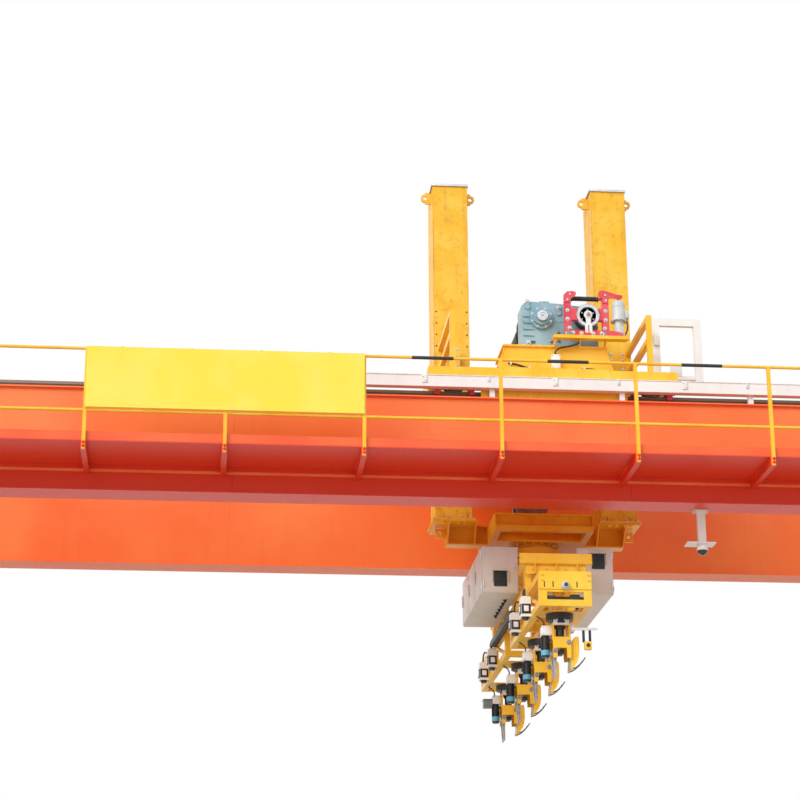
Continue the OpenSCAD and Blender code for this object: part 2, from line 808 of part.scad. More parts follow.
// Hoist motor: flange, body, fan cowl, terminal box and feet
module hoist_motor() {
    y1 = reducer_y + reducer_d;
    flange_l = 80;
    cowl_l = 90;
    foot_w = 240;
    foot_t = 30;
    foot_len = 240;
    foot_y = y1 + flange_l + 170;
    box_w = 150;
    box_h = 70;
    sunk = 40;
    color("slategray") on_trolley() {
        bar_y([input_x, y1 + flange_l / 2, input_z], motor_d * 0.4, flange_l);
        bar_y([input_x, y1 + flange_l + foot_t / 2, input_z], motor_d * 0.8, foot_t);
        bar_y([input_x, y1 + flange_l + motor_len / 2, input_z], motor_d - foot_t, motor_len);
        bar_y([input_x, y1 + flange_l + motor_len - cowl_l / 2, input_z], motor_d, cowl_l);
        block([input_x - foot_w / 2, input_x + foot_w / 2], [foot_y, foot_y + foot_len],
            [input_z - motor_d / 2 - foot_t, input_z]);
        block([input_x - box_w / 2, input_x + box_w / 2], [foot_y, foot_y + box_w],
            [input_z + motor_d / 2 - sunk, input_z + motor_d / 2 - sunk + box_h]);
    }
}

// Rope drum: a grooved shell with end flanges and a stub shaft
module rope_drum() {
    y0 = reducer_y + reducer_d;
    stub = 50;
    shell = 30;
    flange_t = 20;
    flange_rise = 40;
    groove = rope_d + 4;
    depth = rope_d / 3;
    plain = 120;
    turns = floor((drum_len - 2 * plain) / groove);
    r = drum_d / 2;
    shaft_d = 140;
    shaft_len = 120;
    color("dimgray") on_trolley() translate([drum_x, y0, drum_z]) rotate([-90, 0, 0]) {
        cylinder(d = shaft_d, h = stub);
        translate([0, 0, stub]) rotate_extrude($fn = 96) {
            polygon(concat([[r - shell, 0], [r, 0], [r, plain]],
                [for (i = [0 : turns - 1])
                    each [[r - depth, plain + (i + 0.5) * groove], [r, plain + (i + 1) * groove]]],
                [[r, drum_len], [r - shell, drum_len]]));
            for (z = [0, drum_len - flange_t]) translate([0, z]) square([r + flange_rise, flange_t]);
        }
    }
}

// Guide frame of one mast: bars between the cross beams, posts and rails, and plates for the rollers
module guide_frame(side) {
    tube = 60;
    base_h = 120;
    plate_w = 240;
    top = floor_z + 730;
    mid = floor_z + 400;
    x = mast_pitch / 2 + mast_w / 2 - tube;
    x0 = cross_in + cross_w / 2;
    x1 = cross_out - cross_w / 2;
    y0 = mast_d / 2 + roller_d + tube / 2 + clear;
    color(machine_paint) on_trolley() mirror([side < 0 ? 1 : 0, 0, 0]) for (s = [-1, 1])
        mirror([0, s < 0 ? 1 : 0, 0]) {
            block([x0, x1], [y0 - tube / 2, y0 + tube / 2], [floor_z - base_h, floor_z]);
            block([x - tube / 2, x + tube / 2], [y0 - tube / 2, y0 + tube / 2], [floor_z, top]);
            block([x - tube / 2, x + tube / 2], [girder_y - tube / 2, girder_y + tube / 2], [floor_z, top]);
            for (z = [mid, top - tube])
                block([x - tube / 2, x + tube / 2], [y0, girder_y], [z, z + tube]);
            block([x - plate_w, x + tube / 2], [y0 - tube / 2, y0], [mid, top]);
        }
}

module left_guide_frame() { guide_frame(-1); }
module right_guide_frame() { guide_frame(1); }

// Guide rollers in their forks, two levels on the front and rear faces of each mast
module guide_rollers() {
    fork_t = 12;
    fork_half = 30;
    roller_w = 110;
    pin = 30;
    off = 20;
    y = mast_d / 2 + roller_d / 2 + running;
    y1 = mast_d / 2 + roller_d + clear;
    color("dimgray") on_trolley() for (m = [-1, 1], s = [-1, 1], rise = [460, 660])
        translate([m * (mast_pitch / 2 + off), 0, floor_z + rise]) mirror([0, s < 0 ? 1 : 0, 0]) {
            bar_x([0, y, 0], roller_d, roller_w);
            bar_x([0, y, 0], pin, roller_w + 4 * fork_t);
            for (e = [-1, 1]) translate([e * (roller_w / 2 + fork_t), 0, 0])
                block([-fork_t / 2, fork_t / 2], [y - fork_half, y1], [-fork_half, fork_half]);
        }
}

// White tubular frame standing on the trolley's right cross beam
module service_frame() {
    tube = 90;
    tube_d = 60;
    left = cross_out - cross_w / 2;
    width = 595;
    high = floor_z + 850;
    foot_h = 130;
    y = -1200;
    color("white") on_trolley() slab_y(y, tube_d) difference() {
        translate([left, floor_z]) square([width, high - floor_z]);
        translate([left + tube, floor_z + tube / 2]) square([width - 2 * tube, foot_h - tube]);
        translate([left + tube, floor_z + foot_h]) square([width - 2 * tube, high - floor_z - foot_h - tube]);
    }
}

// Rope falls: two from the drum to the sheaves, and two back up to the anchor portal
module hoist_ropes() {
    color("darkslategray") on_trolley() for (y = [-rope_y, rope_y], x = [-rope_reach, rope_reach])
        translate([drum_x + x, y, sheave_z]) cylinder(d = rope_d, h = drum_z - sheave_z, $fn = 16);
}

// Grooved rope sheaves on the crosshead, in forked stands
module hoist_sheaves() {
    width = 50;
    groove = 30;
    pin = 70;
    stand_w = 120;
    stand_t = 30;
    stand_in = 45;
    color(steel) on_trolley() for (y = [-rope_y, rope_y]) translate([drum_x, y, 0]) {
        translate([0, 0, sheave_z]) rotate([90, 0, 0]) rotate_extrude($fn = 96) polygon([
            [0, -width / 2], [sheave_d / 2, -width / 2], [sheave_d / 2 - groove, -rope_d / 2],
            [sheave_d / 2 - groove, rope_d / 2], [sheave_d / 2, width / 2], [0, width / 2]]);
        bar_y([0, 0, sheave_z], pin, 2 * (stand_in + stand_t));
        for (s = [-1, 1]) mirror([0, s < 0 ? 1 : 0, 0])
            block([-stand_w / 2, stand_w / 2], [stand_in, stand_in + stand_t], [crosshead_z, sheave_z + pin]);
    }
}

// Mast: square tube with a foot plate, gussets, a cap and two lifting eyes
module mast(side) {
    foot_t = 25;
    foot_lip = 40;
    foot_over = 75;
    gusset = 80;
    gusset_t = 12;
    cap_t = 15;
    cap_lip = 12;
    eye_d = 110;
    eye_hole = 50;
    eye_out = 70;
    eye_t = 30;
    eye_h = 150;
    eye_z = crosshead_z + mast_len - 60;
    z0 = crosshead_z;
    z1 = crosshead_z + foot_t + mast_len;
    color(machine_paint) on_trolley() translate([side * mast_pitch / 2, 0, 0]) {
        difference() {
            block([-mast_w / 2, mast_w / 2], [-mast_d / 2, mast_d / 2], [z0, z1]);
            block([mast_t - mast_w / 2, mast_w / 2 - mast_t], [mast_t - mast_d / 2, mast_d / 2 - mast_t],
                [z0 + foot_t, z1 - mast_t]);
        }
        block([-mast_w / 2 - foot_lip, mast_w / 2 + foot_lip],
            [-mast_d / 2 - foot_over, mast_d / 2 + foot_over], [z0, z0 + foot_t]);
        block([-mast_w / 2 - cap_lip, mast_w / 2 + cap_lip],
            [-mast_d / 2 - cap_lip, mast_d / 2 + cap_lip], [z1, z1 + cap_t]);
        for (s = [-1, 1], x = [-mast_w / 3, mast_w / 3]) mirror([0, s < 0 ? 1 : 0, 0])
            slab_x(x - gusset_t / 2, gusset_t) polygon([[mast_d / 2 - 1, z0 + foot_t],
                [mast_d / 2 + eye_out, z0 + foot_t], [mast_d / 2 - 1, z0 + foot_t + gusset]]);
        for (s = [-1, 1]) mirror([s < 0 ? 1 : 0, 0, 0]) slab_y(0, eye_t) difference() {
            union() {
                translate([mast_w / 2 - 1, eye_z - eye_h / 2]) square([eye_out + 1, eye_h]);
                translate([mast_w / 2 + eye_out, eye_z]) circle(d = eye_d);
            }
            translate([mast_w / 2 + eye_out, eye_z]) circle(d = eye_hole);
        }
    }
}

module left_mast() { mast(-1); }
module right_mast() { mast(1); }

// Crosshead: an I-beam between the mast feet, a middle frame of channels, a column seat and end lugs
module crosshead() {
    wing = mast_pitch / 2 + 70;
    beam_d = 180;
    flange = 20;
    web = 16;
    foot_x = mast_pitch / 2 - mast_w / 2 - 55;
    foot_end = mast_pitch / 2 + mast_w / 2 + 25;
    foot_d = mast_d + 150;
    chord_h = 65;
    chord_d = 80;
    lug_len = 130;
    lug_h = 120;
    lug_t = 30;
    hole_d = 50;
    hole_x = wing + 80;
    hole_z = crosshead_low + 150;
    low = crosshead_low;
    middle_z = crosshead_z - 35;
    mw = middle_w / 2;
    md = middle_d / 2;
    seat_half = slew_d / 2 - flange;
    color(machine_paint) on_trolley() {
        for (z = [low, crosshead_z - flange])
            block([-wing, wing], [-beam_d / 2, beam_d / 2], [z, z + flange]);
        block([-wing, wing], [-web / 2, web / 2], [low, crosshead_z]);
        block([-mw, mw], [-seat_half, seat_half], [low, low + flange]);
        block([drum_x - sheave_d / 2, drum_x + sheave_d / 2], [-2 * rope_y, 2 * rope_y],
            [crosshead_z - flange, crosshead_z]);
        for (s = [-1, 1]) mirror([s < 0 ? 1 : 0, 0, 0]) {
            block([foot_x, foot_end], [-foot_d / 2, foot_d / 2], [crosshead_z - flange, crosshead_z]);
            for (x = [foot_x, wing - web])
                slab_x(x, web) polygon([[-foot_d / 2, crosshead_z - flange], [-beam_d / 2, low],
                    [beam_d / 2, low], [foot_d / 2, crosshead_z - flange]]);
            slab_y(0, lug_t) difference() {
                translate([wing - 1, hole_z - lug_h / 2]) square([lug_len, lug_h]);
                translate([hole_x, hole_z]) circle(d = hole_d);
            }
            block([mw - web, mw], [-md, md], [low, middle_z]);
            for (z = [low, middle_z - flange]) block([mw - chord_d, mw], [-md, md], [z, z + flange]);
        }
        for (s = [-1, 1]) mirror([0, s < 0 ? 1 : 0, 0]) {
            block([-mw, mw], [md - chord_d, md - chord_d + web], [low, middle_z]);
            block([-mw, mw], [md - chord_d, md], [low, low + chord_h]);
            block([-mw, mw], [md - chord_d, md], [middle_z - flange, middle_z]);
        }
    }
}

// Slewing column with its wide bearing flange
module slewing_column() {
    flange_h = 110;
    color(machine_paint) on_trolley() {
        translate([0, 0, slew_z + flange_h]) cylinder(d = column_d, h = crosshead_low - slew_z - flange_h);
        translate([0, 0, slew_z]) cylinder(d = slew_d, h = flange_h);
    }
}

// Turntable: the lower half of the slewing ring and its neck
module turntable() {
    table_h = 60;
    color(machine_paint) on_trolley() {
        translate([0, 0, slew_z - running - table_h]) cylinder(d = slew_d, h = table_h);
        translate([0, 0, head_z]) cylinder(d = column_d, h = slew_z - running - head_z);
    }
}

// Top frame: side beams, cross beams under the turntable and end bars with ribbed plates below
module spreader_head() {
    beam_w = 105;
    cross_y = 450;
    cross_half = 60;
    bar_over = 65;
    plate_h = 110;
    plate_in = 20;
    rib_t = 12;
    front = head_len / 2;
    low = head_z - head_beam_h;
    inner = head_w / 2 - beam_w;
    color(machine_paint) on_trolley() {
        for (y = [-cross_y, cross_y])
            block([-head_w / 2, head_w / 2], [y - cross_half, y + cross_half], [low, head_z]);
        block([-column_d / 2 - plate_in, column_d / 2 + plate_in], [-cross_y, cross_y], [low, head_z]);
        for (x = [-head_w / 2, inner])
            block([x, x + beam_w], [-front, front], [low, head_z]);
        for (s = [-1, 1]) mirror([0, s < 0 ? 1 : 0, 0]) {
            block([-head_w / 2 - bar_over, head_w / 2 + bar_over], [front - cross_half, front],
                [low, head_z]);
            block([-head_w / 2, head_w / 2], [front - cross_half, front - 2 * plate_in],
                [low - plate_h, low]);
            for (k = [-1 : 1]) block([k * inner - rib_t / 2, k * inner + rib_t / 2],
                [front - cross_half, front], [low - plate_h, low]);
        }
    }
}

// Cross plates and hangers under the top frame, and the two guide rails that the carriers hang on
module carrier_rails() {
    rail_w = 80;
    rail_t = 70;
    hanger_w = 70;
    hanger_half = 60;
    plate_t = 20;
    rail_x = carrier_w / 2 - rail_w;
    front = head_len / 2;
    low = head_z - head_beam_h;
    hanger_y = front - 3 * hanger_half;
    color(machine_paint) on_trolley() {
        for (y = [-hanger_y, -hanger_y / 3, hanger_y / 3, hanger_y])
            block([-head_w / 2, head_w / 2], [y - hanger_half, y + hanger_half], [low - plate_t, low]);
        translate([clamp_x, 0, 0]) for (s = [-1, 1]) mirror([s < 0 ? 1 : 0, 0, 0]) {
            for (y = [-hanger_y, -hanger_y / 3, hanger_y / 3, hanger_y])
                block([rail_x, rail_x + hanger_w], [y - hanger_half, y + hanger_half],
                    [carrier_top + rail_t, low - plate_t]);
            block([rail_x, rail_x + rail_w], [-front, front], [carrier_top, carrier_top + rail_t]);
        }
    }
}

// Control cabinet beside the top frame
module cabinet(side) {
    inner = head_w / 2;
    rise = 220;
    high = head_z + rise;
    skin = 8;
    color("lightgray") on_trolley() mirror([side < 0 ? 1 : 0, 0, 0])
        difference() {
            block([inner, inner + cabinet_w], [-cabinet_len / 2, cabinet_len / 2], [high - cabinet_h, high]);
            block([inner + skin, inner + cabinet_w - skin], [skin - cabinet_len / 2, cabinet_len / 2 - skin],
                [high - cabinet_h + skin, high - skin]);
        }
}

module left_cabinet() { cabinet(-1); }
module right_cabinet() { cabinet(1); }

// Clamp carrier: a square-tube frame with braced sides, a slotted end plate and cross bars over the clamps
module carrier(side) {
    y0 = carrier_gap / 2;
    y1 = y0 + carrier_len;
    half = carrier_w / 2;
    plate = 12;
    brace_low = carrier_low + chord / 2;
    brace_top = carrier_top - chord / 2;
    color(machine_paint) on_trolley() translate([clamp_x, 0, 0]) mirror([0, side < 0 ? 1 : 0, 0]) {
        for (s = [-1, 1]) mirror([s < 0 ? 1 : 0, 0, 0]) {
            block([half - chord, half], [y0, y1], [carrier_top - chord, carrier_top]);
            block([half - chord, half], [y0, y1], [carrier_low, carrier_low + chord]);
            for (y = [y0, (y0 + y1 - chord) / 2, y1 - chord])
                block([half - chord, half], [y, y + chord], [carrier_low, carrier_top]);
            slab_x(half - chord * 3 / 4, chord / 2) {
                strip([y0 + chord, brace_low], [(y0 + y1) / 2, brace_top], chord / 2);
                strip([(y0 + y1) / 2, brace_top], [y1 - chord, brace_low], chord / 2);
            }
        }
        for (y = [y0, y1 - chord], z = [carrier_low, carrier_top - chord])
            block([-half, half], [y, y + chord], [z, z + chord]);
        for (i = [0.5, 1.5])
            block([-half, half], [i * clamp_pitch - rotator_d / 2, i * clamp_pitch + rotator_d / 2],
                [carrier_low, carrier_low + plate]);
        if (side < 0) difference() {
            union() {
                block([-half, half], [y1, y1 + plate], [carrier_low, carrier_top]);
                block([-half, half], [y1, y1 + 2 * plate],
                    [carrier_low + 2 * chord + slot_h / 2, carrier_top]);
            }
            block([-slot_w / 2, slot_w / 2], [y1 - 1, y1 + 2 * plate + 1],
                [carrier_low + chord, carrier_low + chord + slot_h]);
        }
    }
}

module front_carrier() { carrier(-1); }
module rear_carrier() { carrier(1); }

// Servo drives on the left sides of the carriers, two on each
module carrier_drives() {
    drive_w = 110;
    drive_d = 120;
    drive_h = 220;
    share = [0.35, 0.71];
    x1 = clamp_x - carrier_w / 2;
    color("whitesmoke") on_trolley() for (s = [-1, 1], k = share)
        translate([0, s * (carrier_gap / 2 + k * carrier_len), carrier_low + chord / 4])
            block([x1 - drive_w, x1], [-drive_d / 2, drive_d / 2], [0, drive_h]);
}

function clamp_y(i) = (i - 2.5) * clamp_pitch;
tine_drop = 150;
hook_drop = 60;
tine_x = clamp_x - yoke_w * 3 / 8;
tine_z = yoke_z - tine_drop;
hook_x = clamp_x + yoke_w * 3 / 8;
hook_z = yoke_z - hook_drop;
jaw_w = yoke_d - 2 * cheek_t - 20;

// What repeats under each clamp place
module at_clamps() { on_trolley() for (i = [1 : 4]) translate([clamp_x, clamp_y(i), 0]) children(); }

fork_d = 180;
motor_x = -165;
can_d = 80;
disc_t = 70;
ring_t = 40;
fork_top = carrier_low - disc_t - ring_t;

// Rotators under the carriers
module clamp_rotators() {
    color("dimgray") at_clamps() {
        translate([0, 0, carrier_low - disc_t]) cylinder(d = rotator_d, h = disc_t);
        translate([0, 0, fork_top]) cylinder(d = rotator_d * 0.7, h = ring_t);
    }
}

// Yokes: a portal under the rotator, a top plate, two notched cheeks and the two jaw pins
module clamp_yokes() {
    notch_h = 110;
    leg_t = 20;
    shoulder = 20;
    leg_end = 45;
    taper = 2;
    half = yoke_w / 2;
    color(machine_paint) at_clamps() {
        block([-half, half], [-fork_d / 2, fork_d / 2], [fork_top - leg_t, fork_top]);
        for (x = [-half, half - leg_t])
            block([x, x + leg_t], [-fork_d / 2, fork_d / 2], [yoke_z, fork_top]);
        block([-half, half], [-yoke_d / 2, yoke_d / 2], [yoke_z - cheek_t, yoke_z]);
        for (s = [-1, 1]) slab_y(s * (yoke_d - cheek_t) / 2, cheek_t) translate([0, yoke_z]) polygon([
            [shoulder - half, 0], [half - shoulder, 0], [half, -shoulder], [half - taper, -yoke_h],
            [half - leg_end, -yoke_h], [half / 2, notch_h - yoke_h], [-half / 2, notch_h - yoke_h],
            [leg_end - half, -yoke_h], [taper - half, -yoke_h], [-half, -shoulder]]);
        bar_y([tine_x - clamp_x, 0, tine_z], pin_d, yoke_d);
        bar_y([hook_x - clamp_x, 0, hook_z], pin_d, yoke_d);
    }
}

// Jaw motors beside the yokes, on a bracket from the yoke's top plate
module clamp_motors() {
    can_top = yoke_z + 30;
    can_len = 240;
    color("dimgray") at_clamps() {
        bar_z([motor_x, 0, can_top - can_len / 2], can_d, can_len);
        block([motor_x, -yoke_w / 2], [-can_d / 3, can_d / 3], [yoke_z - cheek_t, yoke_z]);
    }
}

// Terminal boxes on the portals, above the motors
module terminal_boxes() {
    box_h = 100;
    box_d = 120;
    low = yoke_z + 30;
    color("whitesmoke") at_clamps()
        block([motor_x - can_d / 2, -yoke_w / 2], [-box_d / 2, box_d / 2], [low, low + box_h]);
}

// Gripping tines: two steel prongs on a hub that turns on the left pin
module tines(i) {
    hub_d = pin_d + 34;
    prong = 24;
    prong_y = 60;
    root = 22;
    tip_l = 4;
    tip_r = 14;
    color(steel) on_trolley() translate([tine_x, clamp_y(i), tine_z]) difference() {
        union() {
            bar_y([0, 0, 0], hub_d, jaw_w);
            for (y = [-prong_y, prong_y]) slab_y(y, prong)
                polygon([[-root, 0], [root, 0], [tip_r, -tine_len], [-tip_l, -tine_len]]);
        }
        bar_y([0, 0, 0], pin_d + 2 * running, jaw_w + 2);
    }
}

module tines_1() { tines(1); }
module tines_2() { tines(2); }
module tines_3() { tines(3); }
module tines_4() { tines(4); }

// Outlines of the claw and of its guide hooks, as shares of the claw's width and length from the pin
claw_shape = [
    [-0.13, 0], [0.25, 0.016], [0.41, 0.066], [0.64, 0.236], [0.92, 0.236], [1, 0.1], [1, -0.3], [0.92, -0.53],
    [0.75, -0.72], [0.47, -0.87], [0.12, -1], [0.17, -0.8], [0.23, -0.53], [0.17, -0.3], [0, -0.12]];
guide_shape = [
    [0.12, -1], [0.72, -0.9], [1.23, -0.73], [1.58, -0.53], [1.47, -0.52], [1.14, -0.7], [0.68, -0.86],
    [0.3, -0.92]];

// Hook jaw: a D-shaped claw on the right pin, with two thin guide hooks turned out from its tip
module hook_jaw(i) {
    hub_d = pin_d + 24;
    hook_t = 14;
    color(machine_paint) on_trolley() translate([hook_x, clamp_y(i), hook_z]) difference() {
        union() {
            bar_y([0, 0, 0], hub_d, jaw_w);
            slab_y(0, jaw_w) polygon([for (p = claw_shape) [p[0] * claw_w, p[1] * claw_len]]);
            for (s = [-1, 1]) slab_y(s * (jaw_w - hook_t) / 2, hook_t)
                polygon([for (p = guide_shape) [p[0] * claw_w, p[1] * claw_len]]);
        }
        bar_y([0, 0, 0], pin_d + 2 * running, jaw_w + 2);
    }
}

module hook_jaw_1() { hook_jaw(1); }
module hook_jaw_2() { hook_jaw(2); }
module hook_jaw_3() { hook_jaw(3); }
module hook_jaw_4() { hook_jaw(4); }

front_girder();
rear_girder();
trolley_rails();
trolley_stops();
front_walkway();
rear_walkway();
front_railing();
rear_railing();
sign_panel();
cable_trough();
left_end_carriage();
right_end_carriage();
travel_wheels();
travel_drives();
end_buffers();
inspection_camera();
trolley_side_beams();
trolley_cross_beams();
trolley_deck();
trolley_wheels();
trolley_drive();
hoist_pedestal();
hoist_reducer();
brake_frame();
brake_drum();
brake_thruster();
hoist_motor();
rope_drum();
left_guide_frame();
right_guide_frame();
guide_rollers();
service_frame();
hoist_ropes();
left_mast();
right_mast();
crosshead();
hoist_sheaves();
slewing_column();
turntable();
spreader_head();
carrier_rails();
left_cabinet();
right_cabinet();
front_carrier();
rear_carrier();
carrier_drives();
clamp_rotators();
clamp_yokes();
clamp_motors();
terminal_boxes();
tines_1();
tines_2();
tines_3();
tines_4();
hook_jaw_1();
hook_jaw_2();
hook_jaw_3();
hook_jaw_4();
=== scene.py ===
import math
import random

import bmesh
import bpy
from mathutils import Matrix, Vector


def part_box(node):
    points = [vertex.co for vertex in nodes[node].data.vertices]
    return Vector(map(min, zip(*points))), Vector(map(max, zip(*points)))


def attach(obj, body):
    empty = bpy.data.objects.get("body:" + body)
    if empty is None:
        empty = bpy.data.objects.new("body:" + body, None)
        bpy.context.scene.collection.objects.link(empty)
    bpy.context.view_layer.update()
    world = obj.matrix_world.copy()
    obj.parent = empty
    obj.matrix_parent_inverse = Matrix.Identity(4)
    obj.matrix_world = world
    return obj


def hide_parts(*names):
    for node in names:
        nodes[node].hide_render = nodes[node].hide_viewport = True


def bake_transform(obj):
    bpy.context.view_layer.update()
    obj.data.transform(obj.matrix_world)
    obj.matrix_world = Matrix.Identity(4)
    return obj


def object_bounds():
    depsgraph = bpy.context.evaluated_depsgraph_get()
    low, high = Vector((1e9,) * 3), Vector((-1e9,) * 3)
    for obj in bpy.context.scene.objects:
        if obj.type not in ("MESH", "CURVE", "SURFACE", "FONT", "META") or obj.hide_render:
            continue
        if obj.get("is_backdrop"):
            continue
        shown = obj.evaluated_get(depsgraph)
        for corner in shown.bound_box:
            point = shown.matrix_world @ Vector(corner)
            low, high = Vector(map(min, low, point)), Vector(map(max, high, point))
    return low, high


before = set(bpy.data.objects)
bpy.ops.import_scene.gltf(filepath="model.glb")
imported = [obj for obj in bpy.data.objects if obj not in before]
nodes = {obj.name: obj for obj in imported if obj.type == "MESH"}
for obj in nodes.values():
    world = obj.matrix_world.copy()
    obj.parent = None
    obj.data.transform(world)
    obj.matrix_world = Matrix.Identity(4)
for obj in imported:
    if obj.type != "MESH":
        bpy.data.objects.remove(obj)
cad_low, cad_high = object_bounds()
scene = bpy.context.scene
scene.view_settings.view_transform = "Standard"

# The studio: a pale concrete floor, far enough below for a crane that hangs under a roof, and a white sky.
# One wide lamp stands for the daylight from the front left, two weak ones lift the right side and the back.
# The floor throws back less light than it shows, as open ground does, so that undersides stay in shade.
FLOOR_BELOW_CRANE = 6.28
FLOOR_SIZE = 400.0
FLOOR_CLOUD_MM = 5000


def add(tree, kind, inputs=None, **settings):
    """A shader node with its settings, and its sockets set or linked."""
    node = tree.nodes.new(kind)
    for name, value in settings.items():
        setattr(node, name, value)
    for socket, value in (inputs or {}).items():
        if isinstance(value, bpy.types.NodeSocket):
            tree.links.new(value, node.inputs[socket])
        else:
            node.inputs[socket].default_value = value
    return node


def linear(hex_code):
    """An sRGB hex colour as linear RGBA."""
    channels = [int(hex_code[i:i + 2], 16) / 255 for i in (1, 3, 5)]
    return [c / 12.92 if c <= 0.04045 else ((c + 0.055) / 1.055) ** 2.4 for c in channels] + [1.0]


def new_tree(owner):
    """The empty node tree of a new material or world."""
    owner.use_nodes = True
    owner.node_tree.nodes.clear()
    return owner.node_tree


def seen_directly(tree):
    """One where a ray comes from the camera, a reflection or through glass, and nought for stray light."""
    path = add(tree, "ShaderNodeLightPath")
    seen = add(tree, "ShaderNodeMath",
               {0: path.outputs["Is Camera Ray"], 1: path.outputs["Is Glossy Ray"]}, operation="MAXIMUM")
    return add(tree, "ShaderNodeMath",
               {0: seen.outputs[0], 1: path.outputs["Is Transmission Ray"]}, operation="MAXIMUM").outputs[0]


scene.world = bpy.data.worlds.new("white_sky")
tree = new_tree(scene.world)
daylight = add(tree, "ShaderNodeBackground", {"Color": linear("#f4f6fb"), "Strength": 0.46})
backdrop = add(tree, "ShaderNodeBackground", {"Color": linear("#ffffff"), "Strength": 1.0})
sky = add(tree, "ShaderNodeMixShader", {0: seen_directly(tree), 1: daylight.outputs[0], 2: backdrop.outputs[0]})
add(tree, "ShaderNodeOutputWorld", {"Surface": sky.outputs[0]})

floor_concrete = bpy.data.materials.new("pale_floated_concrete")
tree = new_tree(floor_concrete)
place = add(tree, "ShaderNodeTexCoord").outputs["Object"]
cloud = add(tree, "ShaderNodeTexNoise", {"Vector": place, "Scale": 1000 / FLOOR_CLOUD_MM, "Detail": 4.0})
shade = add(tree, "ShaderNodeMix", {0: cloud.outputs["Fac"], 6: linear("#f3f2ef"), 7: linear("#fbfaf8")},
            data_type="RGBA")
shown = add(tree, "ShaderNodeMix", {0: seen_directly(tree), 6: linear("#cdc3b6"), 7: shade.outputs[2]},
            data_type="RGBA")
pale = add(tree, "ShaderNodeBsdfPrincipled", {"Base Color": shown.outputs[2], "Roughness": 0.9})
add(tree, "ShaderNodeOutputMaterial", {"Surface": pale.outputs[0]})

floor_mesh = bpy.data.meshes.new("floor")
half = FLOOR_SIZE / 2
floor_z = cad_low.z - FLOOR_BELOW_CRANE
floor_mesh.from_pydata([(-half, -half, floor_z), (half, -half, floor_z), (half, half, floor_z), (-half, half, floor_z)],
                       [], [(0, 1, 2, 3)])
floor_mesh.materials.append(floor_concrete)
floor = bpy.data.objects.new("floor", floor_mesh)
scene.collection.objects.link(floor)
floor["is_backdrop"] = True

for name, strength, spread, tilt, turn in (
        ("daylight_front_left", 2.3, 40, 60, -45), ("fill_right", 0.55, 80, 70, 30), ("fill_back", 0.5, 80, 55, 170)):
    lamp = bpy.data.lights.new(name, "SUN")
    lamp.energy = strength
    lamp.angle = math.radians(spread)
    holder = bpy.data.objects.new(name, lamp)
    holder.rotation_euler = (math.radians(tilt), 0, math.radians(turn))
    scene.collection.objects.link(holder)

# The camera stands on the floor in front of the crane and looks up about nineteen degrees, as in the photograph.
camera_data = bpy.data.cameras.new("camera")
camera_data.lens = 96.23
camera_data.clip_end = 500
camera = bpy.data.objects.new("camera", camera_data)
camera.location = (4.29, -24.6, -6.813)
camera.rotation_euler = (math.radians(108.813), math.radians(0.251), math.radians(-5.386))
scene.collection.objects.link(camera)
scene.camera = camera

# The two box girders: webs and flanges of plate steel, welded along every edge and sprayed with
# orange-red enamel. A fillet weld runs where each web meets a flange, and butt welds join the web plates.
FLANGE_LIP = 0.04
FLANGE_T = 0.02
WELD_R = 0.008
SEAM_ENDS = (1.1, 12.4)
WEB_JOINTS = (4.6, 9.1)
random.seed(7)


